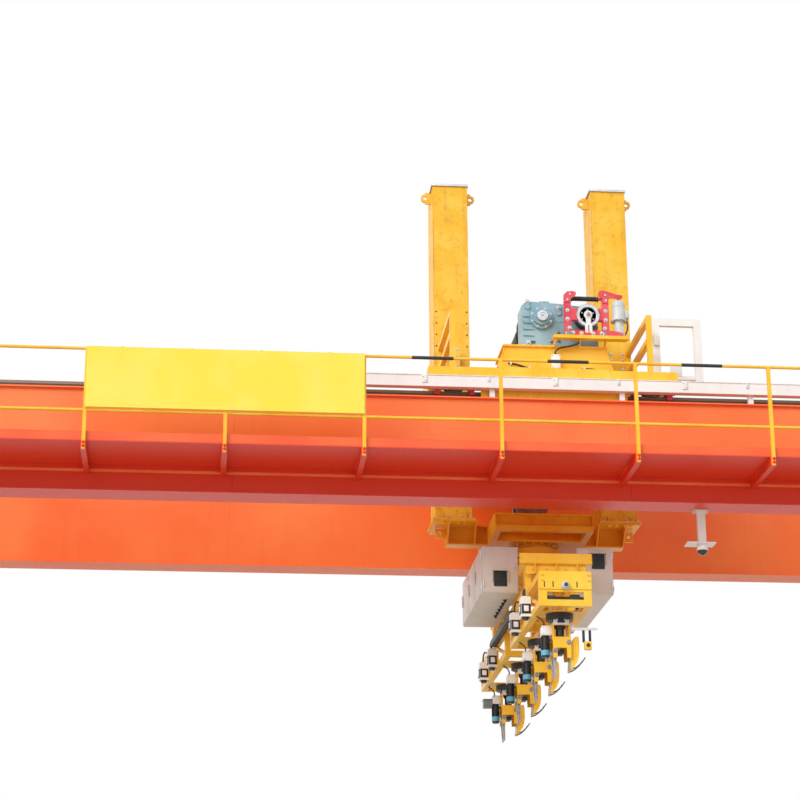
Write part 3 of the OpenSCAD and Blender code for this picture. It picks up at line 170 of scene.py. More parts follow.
def painted_steel(name, colour, faded, stain, patch_mm=900, stains=0.25, scuffs=0.0, roughness=0.38, painted_shade=None):
    """Sprayed enamel on steel plate, semi-gloss. It shows chalky patches, thin dirt runs down the sides, scuffs
    where things rub along it, coat worn off the edges, and the soft waves of welded plate in its highlights.
    Where painted shade is asked for, the coat turns to a deeper colour below the given height: painted shade, standing
    for a shadow that falls on the lower part."""
    material = bpy.data.materials.new(name)
    tree = new_tree(material)
    place = add(tree, "ShaderNodeTexCoord").outputs["Object"]
    patches = add(tree, "ShaderNodeTexNoise", {"Vector": place, "Scale": 1000 / patch_mm, "Detail": 5.0})
    chalk = add(tree, "ShaderNodeMapRange", {0: patches.outputs["Fac"], 1: 0.38, 2: 0.68})
    coat = add(tree, "ShaderNodeMix", {0: chalk.outputs[0], 6: linear(colour), 7: linear(faded)}, data_type="RGBA")
    # Painted shade: below a given height the coat turns to a deeper colour, standing for a shadow cast on the lower
    # part, and blends into the plain coat above.
    if painted_shade:
        shade_colour, full_shade_z, plain_coat_z = painted_shade
        height = add(tree, "ShaderNodeSeparateXYZ", {0: place})
        above_shade = add(tree, "ShaderNodeMapRange", {0: height.outputs["Z"], 1: full_shade_z, 2: plain_coat_z})
        coat = add(tree, "ShaderNodeMix", {0: above_shade.outputs[0], 6: linear(shade_colour), 7: coat.outputs[2]},
                   data_type="RGBA")
    run_mm, run_len_mm = 110, 1400
    drawn = add(tree, "ShaderNodeMapping",
                {"Vector": place, "Scale": (1000 / run_mm, 1000 / run_mm, 1000 / run_len_mm)})
    runs = add(tree, "ShaderNodeTexNoise", {"Vector": drawn.outputs[0], "Scale": 1.0, "Detail": 6.0})
    dirt = add(tree, "ShaderNodeMapRange", {0: runs.outputs["Fac"], 1: 0.52, 2: 0.80, 4: stains})
    coat = add(tree, "ShaderNodeMix", {0: dirt.outputs[0], 6: coat.outputs[2], 7: linear(stain)}, data_type="RGBA")
    grit = add(tree, "ShaderNodeTexNoise", {"Vector": place, "Scale": 1000 / 45, "Detail": 6.0})
    if scuffs:
        spot_mm, scratch_mm, scratch_len_mm = 70, 9, 420
        spots = add(tree, "ShaderNodeTexNoise", {"Vector": place, "Scale": 1000 / spot_mm, "Detail": 8.0,
                                                 "Roughness": 0.7})
        grime = add(tree, "ShaderNodeMapRange", {0: spots.outputs["Fac"], 1: 0.50, 2: 0.72, 4: scuffs})
        coat = add(tree, "ShaderNodeMix", {0: grime.outputs[0], 6: coat.outputs[2], 7: linear(stain)},
                   data_type="RGBA")
        lines = add(tree, "ShaderNodeMapping", {
            "Vector": place, "Rotation": (0.05, 0.08, 0.0),
            "Scale": (1000 / scratch_mm, 1000 / scratch_mm, 1000 / scratch_len_mm)})
        scratch = add(tree, "ShaderNodeTexNoise", {"Vector": lines.outputs[0], "Scale": 1.0, "Detail": 2.0})
        bared = add(tree, "ShaderNodeMapRange", {0: scratch.outputs["Fac"], 1: 0.66, 2: 0.74, 4: scuffs})
        coat = add(tree, "ShaderNodeMix", {0: bared.outputs[0], 6: coat.outputs[2], 7: linear("#7b5a2c")},
                   data_type="RGBA")
    rounded = add(tree, "ShaderNodeBevel", {"Radius": 0.012}, samples=3)
    surface = add(tree, "ShaderNodeNewGeometry")
    turned_away = add(tree, "ShaderNodeVectorMath",
                      {0: rounded.outputs[0], 1: surface.outputs["Normal"]}, operation="DOT_PRODUCT")
    edge = add(tree, "ShaderNodeMapRange", {0: turned_away.outputs["Value"], 1: 0.97, 2: 0.75})
    chips = add(tree, "ShaderNodeMapRange", {0: grit.outputs["Fac"], 1: 0.50, 2: 0.62, 4: 0.5})
    rubbed = add(tree, "ShaderNodeMath", {0: edge.outputs[0], 1: chips.outputs[0]}, operation="MULTIPLY")
    coat = add(tree, "ShaderNodeMix", {0: rubbed.outputs[0], 6: coat.outputs[2], 7: linear(stain)}, data_type="RGBA")
    gloss = add(tree, "ShaderNodeMapRange", {0: grit.outputs["Fac"], 3: roughness - 0.08, 4: roughness + 0.14})
    waves = add(tree, "ShaderNodeTexNoise", {"Vector": place, "Scale": 1000 / 700, "Detail": 1.0})
    sheet = add(tree, "ShaderNodeBump", {"Height": waves.outputs["Fac"], "Strength": 0.2, "Distance": 0.02})
    peel = add(tree, "ShaderNodeBump",
               {"Height": grit.outputs["Fac"], "Strength": 0.12, "Distance": 0.002, "Normal": sheet.outputs[0]})
    enamel = add(tree, "ShaderNodeBsdfPrincipled",
                 {"Base Color": coat.outputs[2], "Roughness": gloss.outputs[0], "Normal": peel.outputs[0], "IOR": 1.5})
    add(tree, "ShaderNodeOutputMaterial", {"Surface": enamel.outputs[0]})
    return material


def dress(material, *names):
    """Gives CAD nodes their finish."""
    for name in names:
        nodes[name].data.materials.clear()
        nodes[name].data.materials.append(material)


def tube(bm, points, radius, sides=10, ripple=0.0):
    """A round bar, pipe or bead along a line of points; ripple varies its radius as a hand-laid weld does."""
    points = [Vector(p) for p in points]
    rings = []
    across = None
    for k, point in enumerate(points):
        along = (points[min(k + 1, len(points) - 1)] - points[max(k - 1, 0)]).normalized()
        across = along.orthogonal() if across is None else across - along * across.dot(along)
        across.normalize()
        third = along.cross(across)
        size = radius * (1 + ripple * (random.random() - 0.5))
        rings.append([bm.verts.new(point + (across * math.cos(turn) + third * math.sin(turn)) * size)
                      for turn in (2 * math.pi * s / sides for s in range(sides))])
    for near, far in zip(rings, rings[1:]):
        for s in range(sides):
            bm.faces.new((near[s - 1], near[s], far[s], far[s - 1]))
    bm.faces.new(rings[0])
    bm.faces.new(list(reversed(rings[-1])))


def weld(bm, start, end, radius, step=0.06):
    """A weld bead laid between two points."""
    start, end = Vector(start), Vector(end)
    count = max(2, int((end - start).length / step))
    tube(bm, [start.lerp(end, k / count) for k in range(count + 1)], radius, 6, 0.35)


def make(name, bm, material, body):
    """A finished piece: its mesh in its material, riding on its body of the crane where it has one."""
    bmesh.ops.recalc_face_normals(bm, faces=bm.faces)
    mesh = bpy.data.meshes.new(name)
    bm.to_mesh(mesh)
    bm.free()
    mesh.shade_smooth()
    mesh.set_sharp_from_angle(angle=math.radians(35))
    mesh.materials.append(material)
    piece = bpy.data.objects.new(name, mesh)
    scene.collection.objects.link(piece)
    if body:
        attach(piece, body)
    return piece


deck_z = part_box("front_walkway")[1].z
girder_enamel = painted_steel("orange_red_enamel", "#f66724", "#fa813d", "#a8361a", patch_mm=1700, stains=0.07)
# Painted light and shade on the front girder: a slightly lighter coat above the walkway deck stands for light on the
# upper web, and a deep red below the deck stands for the walkway's shadow on the lower web.
girder_enamel_painted_lit_and_shaded = painted_steel("orange_red_enamel_painted_lit_and_shaded", "#f7722f", "#fb8a47", "#a8361a", patch_mm=1700,
                              stains=0.07, painted_shade=("#e83f1c", deck_z - 0.08, deck_z))
dress(girder_enamel_painted_lit_and_shaded, "front_girder")
dress(girder_enamel, "rear_girder")
for name in ("front_girder", "rear_girder"):
    low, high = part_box(name)
    bm = bmesh.new()
    for web_y in (low.y + FLANGE_LIP, high.y - FLANGE_LIP):
        for z in (low.z + FLANGE_T, high.z - FLANGE_T):
            weld(bm, (SEAM_ENDS[0], web_y, z), (SEAM_ENDS[1], web_y, z), WELD_R)
        for x in WEB_JOINTS:
            weld(bm, (x, web_y, low.z + FLANGE_T), (x, web_y, high.z - FLANGE_T), WELD_R * 0.6)
    make(name + "_welds", bm, nodes[name].data.materials[0], "bridge")

# The trolley rails: rolled crane rail laid on the girders' top flanges. Pressed clips with hexagon bolts hold
# the foot down on both sides. The steel is scaly and rust-brown, and wheels have polished the head.
RAIL_FOOT_HALF = 0.05
CLIP_PITCH = 0.75
CLIP_HALF = 0.03
CLIP_OUT = 0.045
CLIP_H = 0.02


def block(bm, corner, opposite, round_mm=3.0):
    """A plate, bar or box between two opposite corners, its edges rounded over."""
    low, high = (Vector([pick(pair) for pair in zip(corner, opposite)]) for pick in (min, max))
    made = bmesh.ops.create_cube(bm, size=1.0)["verts"]
    for vert in made:
        vert.co = Vector(low[i] + (vert.co[i] + 0.5) * (high[i] - low[i]) for i in range(3))
    edges = list({edge for vert in made for edge in vert.link_edges})
    bmesh.ops.bevel(bm, geom=edges, offset=round_mm / 1000, segments=2, profile=0.5, affect="EDGES")


def turned(bm, start, axis, outline, sides=24):
    """A turned piece: an outline of (radius, place along the axis) spun round the axis and closed at its ends."""
    along = Vector(axis).normalized()
    across = along.orthogonal().normalized()
    third = along.cross(across)
    rings = []
    for radius, place in outline:
        middle = Vector(start) + along * place
        turns = [2 * math.pi * s / sides for s in range(sides)] if radius else [0.0]
        rings.append([bm.verts.new(middle + (across * math.cos(t) + third * math.sin(t)) * radius) for t in turns])
    for near, far in zip(rings, rings[1:]):
        for s in range(sides):
            corners = (near[s % len(near)], near[(s + 1) % len(near)], far[(s + 1) % len(far)], far[s % len(far)])
            corners = list(dict.fromkeys(corners))
            if len(corners) > 2:
                bm.faces.new(corners)
    for ring in (rings[0], rings[-1]):
        if len(ring) > 1:
            bm.faces.new(ring)


def bolts(name, across, axis, places, body, painted=None):
    """Hexagon bolts on washers, standing on a face, zinc-plated or painted over; across is the size over the flats."""
    bm = bmesh.new()
    washer, head, corner = across * 0.95, across * 0.14, across * 0.577
    for place in places:
        turned(bm, place, axis, [(washer, 0), (washer, head), (0, head)], 14)
        turned(bm, place, axis, [(corner, head), (corner, across * 0.7), (corner * 0.85, across * 0.8)], 6)
    return make(name, bm, painted or zinc, body)


# Rolled steel: brown mill scale in streaks along the bar, bright where it faces up to the wheels.
rail_steel = bpy.data.materials.new("rolled_rail_steel")
tree = new_tree(rail_steel)
place = add(tree, "ShaderNodeTexCoord").outputs["Object"]
streaks = add(tree, "ShaderNodeMapping", {"Vector": place, "Scale": (1000 / 900, 1000 / 30, 1000 / 30)})
scale = add(tree, "ShaderNodeTexNoise", {"Vector": streaks.outputs[0], "Scale": 1.0, "Detail": 6.0})
rust = add(tree, "ShaderNodeMix", {0: scale.outputs["Fac"], 6: linear("#7c6e64"), 7: linear("#a8978a")},
           data_type="RGBA")
facing = add(tree, "ShaderNodeSeparateXYZ", {0: add(tree, "ShaderNodeNewGeometry").outputs["Normal"]})
polish = add(tree, "ShaderNodeMapRange", {0: facing.outputs["Z"], 1: 0.8, 2: 0.95})
colour = add(tree, "ShaderNodeMix", {0: polish.outputs[0], 6: rust.outputs[2], 7: linear("#b9b7b3")},
             data_type="RGBA")
gloss = add(tree, "ShaderNodeMapRange", {0: polish.outputs[0], 3: 0.75, 4: 0.28})
pits = add(tree, "ShaderNodeBump", {"Height": scale.outputs["Fac"], "Strength": 0.2, "Distance": 0.002})
steel = add(tree, "ShaderNodeBsdfPrincipled", {"Base Color": colour.outputs[2], "Metallic": polish.outputs[0],
                                               "Roughness": gloss.outputs[0], "Normal": pits.outputs[0]})
add(tree, "ShaderNodeOutputMaterial", {"Surface": steel.outputs[0]})
dress(rail_steel, "trolley_rails")


def clouded(name, dark, light, cloud_mm, detail, gloss, bump, grain=None, **surface):
    """A finish that drifts between two shades and two roughnesses in clouds of a real size, over a fine relief.
    Grain gives the relief a noise of its own (its size in mm and detail), surface the shader's other settings."""
    material = bpy.data.materials.new(name)
    tree = new_tree(material)
    place = add(tree, "ShaderNodeTexCoord").outputs["Object"]
    clouds = {"Vector": place, "Scale": 1000 / cloud_mm, "Detail": detail}
    cloud = relief = add(tree, "ShaderNodeTexNoise", clouds).outputs["Fac"]
    if grain:
        grains = {"Vector": place, "Scale": 1000 / grain[0], "Detail": grain[1]}
        relief = add(tree, "ShaderNodeTexNoise", grains).outputs["Fac"]
    colour = add(tree, "ShaderNodeMix", {0: cloud, 6: linear(dark), 7: linear(light)}, data_type="RGBA")
    rough = add(tree, "ShaderNodeMapRange", {0: cloud, 3: gloss[0], 4: gloss[1]})
    bumps = add(tree, "ShaderNodeBump", {"Height": relief, "Strength": bump, "Distance": 0.001})
    finish = add(tree, "ShaderNodeBsdfPrincipled", {"Base Color": colour.outputs[2], "Roughness": rough.outputs[0],
                                                    "Normal": bumps.outputs[0], **surface})
    add(tree, "ShaderNodeOutputMaterial", {"Surface": finish.outputs[0]})
    return material


# Zinc plating: a pale bluish bright coat, clouded by white bloom a few centimetres across.
zinc = clouded("zinc_plated_steel", "#a9adb2", "#dcdedf", cloud_mm=40, detail=4, gloss=(0.3, 0.55),
               bump=0.1, Metallic=0.8)

low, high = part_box("trolley_rails")
rail_y = high.y - RAIL_FOOT_HALF
bm = bmesh.new()
heads = []
for k in range(int((high.x - low.x) / CLIP_PITCH)):
    x = low.x + (k + 0.5) * CLIP_PITCH
    for y in (-rail_y, rail_y):
        for side in (-1, 1):
            inner, outer = y + side * (RAIL_FOOT_HALF - 0.01), y + side * (RAIL_FOOT_HALF + CLIP_OUT)
            block(bm, (x - CLIP_HALF, inner, low.z), (x + CLIP_HALF, outer, low.z + CLIP_H))
            heads.append((x, (inner + outer) / 2, low.z + CLIP_H))
make("rail_clips", bm, rail_steel, "bridge")
bolts("rail_clip_bolts", 0.024, (0, 0, 1), heads, "bridge")

# The trolley end stops: gusseted plates welded on the girders beyond the rails, each with a rubber pad bolted to
# the face that the trolley would meet.
PAD_HALF = 0.075
PAD_T = 0.05
PAD_RISE = 0.24

# Moulded rubber: near black, dull, with a fine grain and a grey dusting.
rubber = clouded("moulded_black_rubber", "#141415", "#37353a", cloud_mm=90, detail=4, gloss=(0.55, 0.85),
                 bump=0.2, grain=(12, 5), IOR=1.52)

dress(girder_enamel, "trolley_stops")
bm = bmesh.new()
for x, inward in ((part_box("trolley_rails")[0].x, 1), (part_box("trolley_rails")[1].x, -1)):
    for y in (-rail_y, rail_y):
        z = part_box("trolley_stops")[0].z + PAD_RISE
        turned(bm, (x, y, z), (inward, 0, 0), [(PAD_HALF, 0), (PAD_HALF, PAD_T * 0.7), (PAD_HALF * 0.8, PAD_T),
                                               (0, PAD_T)], 28)
make("stop_pads", bm, rubber, "bridge")

# The walkways: chequer plate decks on channel brackets welded to the girders' webs, with a toe board, all sprayed
# with the girders' enamel. Walkers' boots have greyed the raised lozenges, and an angle runs along the web below.
BRACKET_BAY = 1.5
DECK_RISE = 0.098
LEDGER_T, LEDGER_H, LEDGER_INSET, LEDGER_RISE = 0.016, 0.055, 0.04, 0.028
DECK_LOZENGE_MM = 60
low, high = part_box("front_walkway")
# Painted shade: the walkways' coat is a deeper red than the girders', and deeper still on the underside and its lowest
# tenth of a metre, standing for the shade under the deck.
walk_enamel_deepened_as_painted_shade = painted_steel("orange_red_enamel_on_chequer_plate", "#f25a28", "#f56a34", "#a02816", patch_mm=700,
                            stains=0.08, painted_shade=("#ea3d1c", low.z + 0.1, low.z + 0.12))
tree = walk_enamel_deepened_as_painted_shade.node_tree
enamel = next(n for n in tree.nodes if n.type == "BSDF_PRINCIPLED")
place = add(tree, "ShaderNodeTexCoord").outputs["Object"]
crossed = []
for turn in (45, -45):
    rows = add(tree, "ShaderNodeMapping", {"Vector": place, "Rotation": (0.0, 0.0, math.radians(turn))})
    crossed.append(add(tree, "ShaderNodeTexWave", {"Vector": rows.outputs[0], "Scale": 1000 / DECK_LOZENGE_MM / 3.2}))
studs = add(tree, "ShaderNodeMath", {0: crossed[0].outputs["Fac"], 1: crossed[1].outputs["Fac"]}, operation="MULTIPLY")
facing = add(tree, "ShaderNodeSeparateXYZ", {0: add(tree, "ShaderNodeNewGeometry").outputs["Normal"]})
deck = add(tree, "ShaderNodeMapRange", {0: facing.outputs["Z"], 1: 0.9, 2: 0.99})
raised = add(tree, "ShaderNodeMath", {0: studs.outputs[0], 1: deck.outputs[0]}, operation="MULTIPLY")
under = enamel.inputs["Normal"].links[0].from_socket
chequer = add(tree, "ShaderNodeBump", {"Height": raised.outputs[0], "Strength": 0.7, "Distance": 0.006,
                                       "Normal": under})
tree.links.new(chequer.outputs[0], enamel.inputs["Normal"])
coat = enamel.inputs["Base Color"].links[0].from_socket
tread = add(tree, "ShaderNodeMath", {0: raised.outputs[0], 1: 0.55}, operation="MULTIPLY")
walked = add(tree, "ShaderNodeMix", {0: tread.outputs[0], 6: coat, 7: linear("#8d8681")}, data_type="RGBA")
tree.links.new(walked.outputs[2], enamel.inputs["Base Color"])
# Painted light: the angle along the web is a brighter orange than the girders' enamel, standing for the light its front
# face catches under the deck.
ledger_enamel_painted_lit = painted_steel("orange_enamel_on_angle_bar_painted_lit", "#fd7434", "#ff8a4c", "#c04a20", patch_mm=500, stains=0.1)
dress(walk_enamel_deepened_as_painted_shade, "front_walkway", "rear_walkway")

first_post = low.x + (high.x - low.x) % BRACKET_BAY / 2
posts = [first_post + k * BRACKET_BAY for k in range(int((high.x - low.x) / BRACKET_BAY) + 1)]
bm = bmesh.new()
rear_low, rear_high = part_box("rear_walkway")
deck_z = low.z + DECK_RISE
for web_y, edge_y in ((high.y, low.y), (rear_low.y, rear_high.y)):
    for x in posts:
        weld(bm, (x - 0.03, web_y, low.z), (x - 0.03, web_y, deck_z), WELD_R)
        weld(bm, (x - 0.03, web_y, deck_z), (x - 0.03, (web_y + edge_y) / 2, deck_z), WELD_R * 0.7)
make("walkway_welds", bm, girder_enamel, "bridge")
bm = bmesh.new()
ledger_z = low.z + LEDGER_RISE
for web_y, outward in ((high.y, -1), (rear_low.y, 1)):
    block(bm, (low.x + LEDGER_INSET, web_y, ledger_z),
          (high.x - LEDGER_INSET, web_y + outward * LEDGER_T, ledger_z + LEDGER_H), 2)
make("walkway_ledgers", bm, ledger_enamel_painted_lit, "bridge")

# The railings: square posts bolted to the bracket ends, with a top and a middle pipe welded through them, all in
# yellow enamel. Black sleeves of paint mark the middle of each open bay of the top pipe.
PIPE_R = 0.017
POST_HALF = 0.019
BAND_LEN = 0.46
MIDDLE_PIPE_DROP = 0.7
machine_yellow = painted_steel("yellow_enamel", "#fdbe17", "#ffd044", "#bb6a0c", patch_mm=450, stains=0.25)
dress(machine_yellow, "front_railing", "rear_railing")

# Black enamel: a hard even coat, greyed by dust.
black_enamel = painted_steel("black_enamel", "#1c1d20", "#2c2d31", "#55504a", patch_mm=160, stains=0.2, roughness=0.42)

sign_low, sign_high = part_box("sign_panel")
bands, collars, heads = bmesh.new(), bmesh.new(), []
for name in ("front_railing", "rear_railing"):
    low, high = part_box(name)
    y = (low.y + high.y) / 2
    top_z = high.z - PIPE_R
    for x in posts:
        for z in (top_z, top_z - MIDDLE_PIPE_DROP):
            for side in (-1, 1):
                turned(collars, (x + side * POST_HALF, y, z), (side, 0, 0),
                       [(PIPE_R + 0.002, 0), (PIPE_R + 0.0015, 0.003), (PIPE_R, 0.006)], 16)
        if name == "front_railing":
            heads += [(x, y - POST_HALF, low.z + dz) for dz in (0.03, 0.07)]
    for near, far in zip(posts, posts[1:]):
        middle = (near + far) / 2
        if name == "front_railing" and middle < sign_high.x:
            continue
        turned(bands, (middle - BAND_LEN / 2, y, top_z), (1, 0, 0),
               [(PIPE_R, 0), (PIPE_R + 0.002, 0.003), (PIPE_R + 0.002, BAND_LEN - 0.003), (PIPE_R, BAND_LEN)], 20)
make("railing_black_bands", bands, black_enamel, "bridge")
make("railing_weld_collars", collars, machine_yellow, "bridge")
bolts("railing_post_bolts", 0.02, (0, -1, 0), heads, "bridge", walk_enamel_deepened_as_painted_shade)

# The sign panel: a folded pan of sheet steel in bright lemon enamel, bare of words. Strap hooks over the top pipe
# and bolts through the posts hold it. The sheet is slightly drummed between its folds.
STRAP_HALF = 0.02
STRAP_T = 0.004
STRAP_STEP = 0.375
sign_enamel = painted_steel("lemon_enamel_on_sheet", "#fae140", "#fbe968", "#c79f1c", patch_mm=800, stains=0.05,
                            roughness=0.32)
dress(sign_enamel, "sign_panel")
bm = bmesh.new()
rail_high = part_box("front_railing")[1]
back = rail_high.y + STRAP_T
for x in [sign_low.x + STRAP_STEP * k for k in (1, 3, 5, 7)]:
    block(bm, (x - STRAP_HALF, sign_high.y - 0.02, rail_high.z), (x + STRAP_HALF, back, rail_high.z + STRAP_T), 1)
    block(bm, (x - STRAP_HALF, back - STRAP_T, rail_high.z - 0.08), (x + STRAP_HALF, back, rail_high.z + STRAP_T), 1)
    block(bm, (x - STRAP_HALF, sign_high.y - 0.02, rail_high.z - 0.08), (x + STRAP_HALF, back, rail_high.z - 0.076), 1)
make("sign_strap_hooks", bm, zinc, "bridge")

# The cable trough: folded sheet steel with a lid, in white enamel, on small feet along the girder's top edge.
# Over-centre clips hold the lid, and a cover strip is screwed over each joint between two lengths.
TROUGH_LENGTH = 1.5
STRIP_HALF = 0.03
white_enamel = painted_steel("white_enamel", "#efeeea", "#f7f6f3", "#a8a49b", patch_mm=600, stains=0.12)
dress(white_enamel, "cable_trough")
low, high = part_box("cable_trough")
strips, clips, screws = bmesh.new(), bmesh.new(), []
for k in range(1, int((high.x - low.x) / TROUGH_LENGTH) + 1):
    x = low.x + k * TROUGH_LENGTH
    if x + STRIP_HALF < high.x:
        block(strips, (x - STRIP_HALF, low.y - 0.003, high.z - 0.1),
              (x + STRIP_HALF, low.y + 0.006, high.z - 0.002), 1.5)
        screws += [(x - 0.015, low.y - 0.003, high.z - 0.03), (x + 0.015, low.y - 0.003, high.z - 0.08)]
    block(clips, (x - 0.78, low.y - 0.002, high.z - 0.07), (x - 0.75, low.y + 0.009, high.z - 0.01), 2)
make("trough_cover_strips", strips, white_enamel, "bridge")
make("trough_lid_clips", clips, zinc, "bridge")
bolts("trough_screws", 0.01, (0, -1, 0), screws, "bridge")

# The end carriages: plate boxes across the girder ends, open below at the wheels, in the girders' enamel.
# The girders are bolted down on them, and bolted covers close the hand holes in their sides.
COVER_HALF = 0.16
COVER_RISE = (0.1, 0.34)
COVER_T = 0.008
dress(girder_enamel, "left_end_carriage", "right_end_carriage")
covers, seat_heads = bmesh.new(), []
girder_low, girder_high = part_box("front_girder")
for name in ("left_end_carriage", "right_end_carriage"):
    low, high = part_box(name)
    middle = (low.x + high.x) / 2
    for y in (-1.0, 0.0, 1.0):
        for face, outward in ((low.x, -1), (high.x, 1)):
            block(covers, (face, y - COVER_HALF, COVER_RISE[0]),
                  (face + outward * COVER_T, y + COVER_HALF, COVER_RISE[1]), 2)
    for lip in (-girder_low.y - 0.02, -girder_high.y + 0.02):
        for side in (-1, 1):
            seat_heads += [(middle + x, side * lip, high.z + FLANGE_T) for x in (-0.1, 0.0, 0.1)]
make("carriage_covers", covers, girder_enamel, "bridge")
bolts("girder_seat_bolts", 0.028, (0, 0, 1), seat_heads, "bridge")
for side, name in ((-1, "left_end_carriage"), (1, "right_end_carriage")):
    low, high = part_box(name)
    inner = high.x + COVER_T if side < 0 else low.x - COVER_T
    bolts(name + "_cover_bolts", 0.018, (-side, 0, 0),
          [(inner, y + dy, z) for y in (-1.0, 0.0, 1.0) for dy in (-0.13, 0.13) for z in (0.13, 0.22, 0.31)], "bridge")

# The travel wheels and their drives: forged double-flanged wheels on axles, and gearmotors in blue-grey enamel
# flanged to the carriages' inner faces. The motors have cast fins, a pressed fan cowl and a terminal box.
DRIVE_Z = 0.13
CAN_R = 0.095
FIN_RISE = 0.014
FLANGE_FACE, FINS_START, BOX_MIDDLE, COWL_START = 0.18, 0.19, 0.31, 0.4


def plate(bm, outline, depth):
    """A flat plate cut to an outline of points and given its thickness along depth."""
    near = [bm.verts.new(Vector(p)) for p in outline]
    far = [bm.verts.new(Vector(p) + Vector(depth)) for p in outline]
    bm.faces.new(near)
    bm.faces.new(list(reversed(far)))
    for k in range(len(near)):
        bm.faces.new((near[k - 1], near[k], far[k], far[k - 1]))


def fins(bm, start, axis, radius, rise, length, count):
    """Cooling fins standing round a motor's barrel, thinner at their tips as cast ones are."""
    along = Vector(axis).normalized()
    across = along.orthogonal().normalized()
    third = along.cross(across)
    for k in range(count):
        turn = 2 * math.pi * (k + 0.5) / count
        out = across * math.cos(turn) + third * math.sin(turn)
        side = along.cross(out) * 0.0035
        foot, tip = Vector(start) + out * radius * 0.96, Vector(start) + out * (radius + rise)
        plate(bm, [foot - side, foot + side, tip + side * 0.6, tip - side * 0.6], along * length)


def circle(radius, count, first=0.0):
    """Places evenly round a circle, as pairs from its middle, the first one at an angle in degrees."""
    turns = [math.radians(first + 360 * k / count) for k in range(count)]
    return [(radius * math.cos(turn), radius * math.sin(turn)) for turn in turns]


# Worn machine steel: turned and forged surfaces gone grey-brown, bright where they roll.
wheel_steel = clouded("forged_wheel_steel", "#6a6460", "#a8a5a1", cloud_mm=60, detail=6, gloss=(0.28, 0.6),
                      bump=0.12, Metallic=0.9)
dress(wheel_steel, "travel_wheels", "trolley_wheels", "hoist_sheaves")
gear_enamel = painted_steel("blue_grey_enamel", "#86acb9", "#a5c3cc", "#4d6066", patch_mm=260, stains=0.25)
dress(gear_enamel, "travel_drives", "trolley_drive")
low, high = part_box("travel_drives")
drive_y = (low.y + high.y) / 2
bm = bmesh.new()
for x, inward in ((low.x, 1), (high.x, -1)):
    fins(bm, (x + inward * FINS_START, drive_y, DRIVE_Z), (inward, 0, 0), CAN_R, FIN_RISE, length=0.2, count=22)
    turned(bm, (x + inward * COWL_START, drive_y, DRIVE_Z), (inward, 0, 0),
           [(0.102, 0), (0.112, 0.008), (0.112, 0.075), (0.09, 0.095), (0.05, 0.098), (0, 0.098)], 36)
    box_x = x + inward * BOX_MIDDLE
    block(bm, (box_x - 0.066, drive_y - 0.066, DRIVE_Z + 0.12), (box_x + 0.066, drive_y + 0.066, DRIVE_Z + 0.144), 4)
make("travel_drive_fins", bm, gear_enamel, "bridge")
for side, x, inward in (("left", low.x, 1), ("right", high.x, -1)):
    bolts("travel_drive_bolts_" + side, 0.02, (inward, 0, 0),
          [(x + inward * FLANGE_FACE, drive_y + dy, DRIVE_Z + dz) for dy, dz in circle(0.112, 6, 30)], "bridge")

# The end buffers: blocks of moulded rubber on steel plates, bolted to the carriages' ends, where they meet the
# stops of the runway. Black, with four zinc-plated bolts through each plate.
RUNWAYS_X = (0.0, 13.5)
BUFFER_Z = 0.225
dress(rubber, "end_buffers")
low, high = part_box("end_buffers")
for name, face, outward in (("front", low.y + 0.15, -1), ("rear", high.y - 0.15, 1)):
    bolts(name + "_buffer_bolts", 0.02, (0, outward, 0),
          [(x + dx, face, BUFFER_Z + dz) for x in RUNWAYS_X for dx in (-0.062, 0.062) for dz in (-0.062, 0.062)],
          "bridge")

# The inspection camera: a drop pole of square tube in white enamel, bolted under the girder's flange, with a
# shelf plate and a camera under it in a smoked polycarbonate dome.
DOME_R = 0.0615
dress(white_enamel, "inspection_camera")

# Smoked polycarbonate: dark, smooth and very glossy, with dust lying on it.
smoked = clouded("smoked_polycarbonate", "#0c0e12", "#33363b", cloud_mm=30, detail=6, gloss=(0.04, 0.2),
                 bump=0.03, IOR=1.58)
low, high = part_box("inspection_camera")
pole_x, pole_y = low.x + 0.19, (low.y + high.y) / 2
bm = bmesh.new()
turned(bm, (pole_x, pole_y, low.z + 0.06), (0, 0, -1),
       [(DOME_R * math.cos(a), DOME_R * math.sin(a)) for a in (0, 0.3, 0.6, 0.9, 1.2, 1.4)] + [(0, DOME_R)], 32)
make("camera_dome", bm, smoked, "bridge")
bm = bmesh.new()
turned(bm, (pole_x, pole_y, low.z + 0.052), (0, 0, 1), [(0.064, 0), (0.066, 0.003), (0.066, 0.013), (0.063, 0.016)], 32)
for x in (pole_x - 0.17, pole_x + 0.1):
    block(bm, (x, pole_y - 0.085, low.z + 0.125), (x + 0.03, pole_y + 0.085, low.z + 0.133), 1.5)
make("camera_ring_and_shelf_ribs", bm, white_enamel, "bridge")
bolts("camera_foot_bolts", 0.02, (0, 0, -1),
      [(pole_x + dx, pole_y + dy, high.z - 0.01) for dx in (-0.07, 0.07) for dy in (-0.045, 0.045)], "bridge")

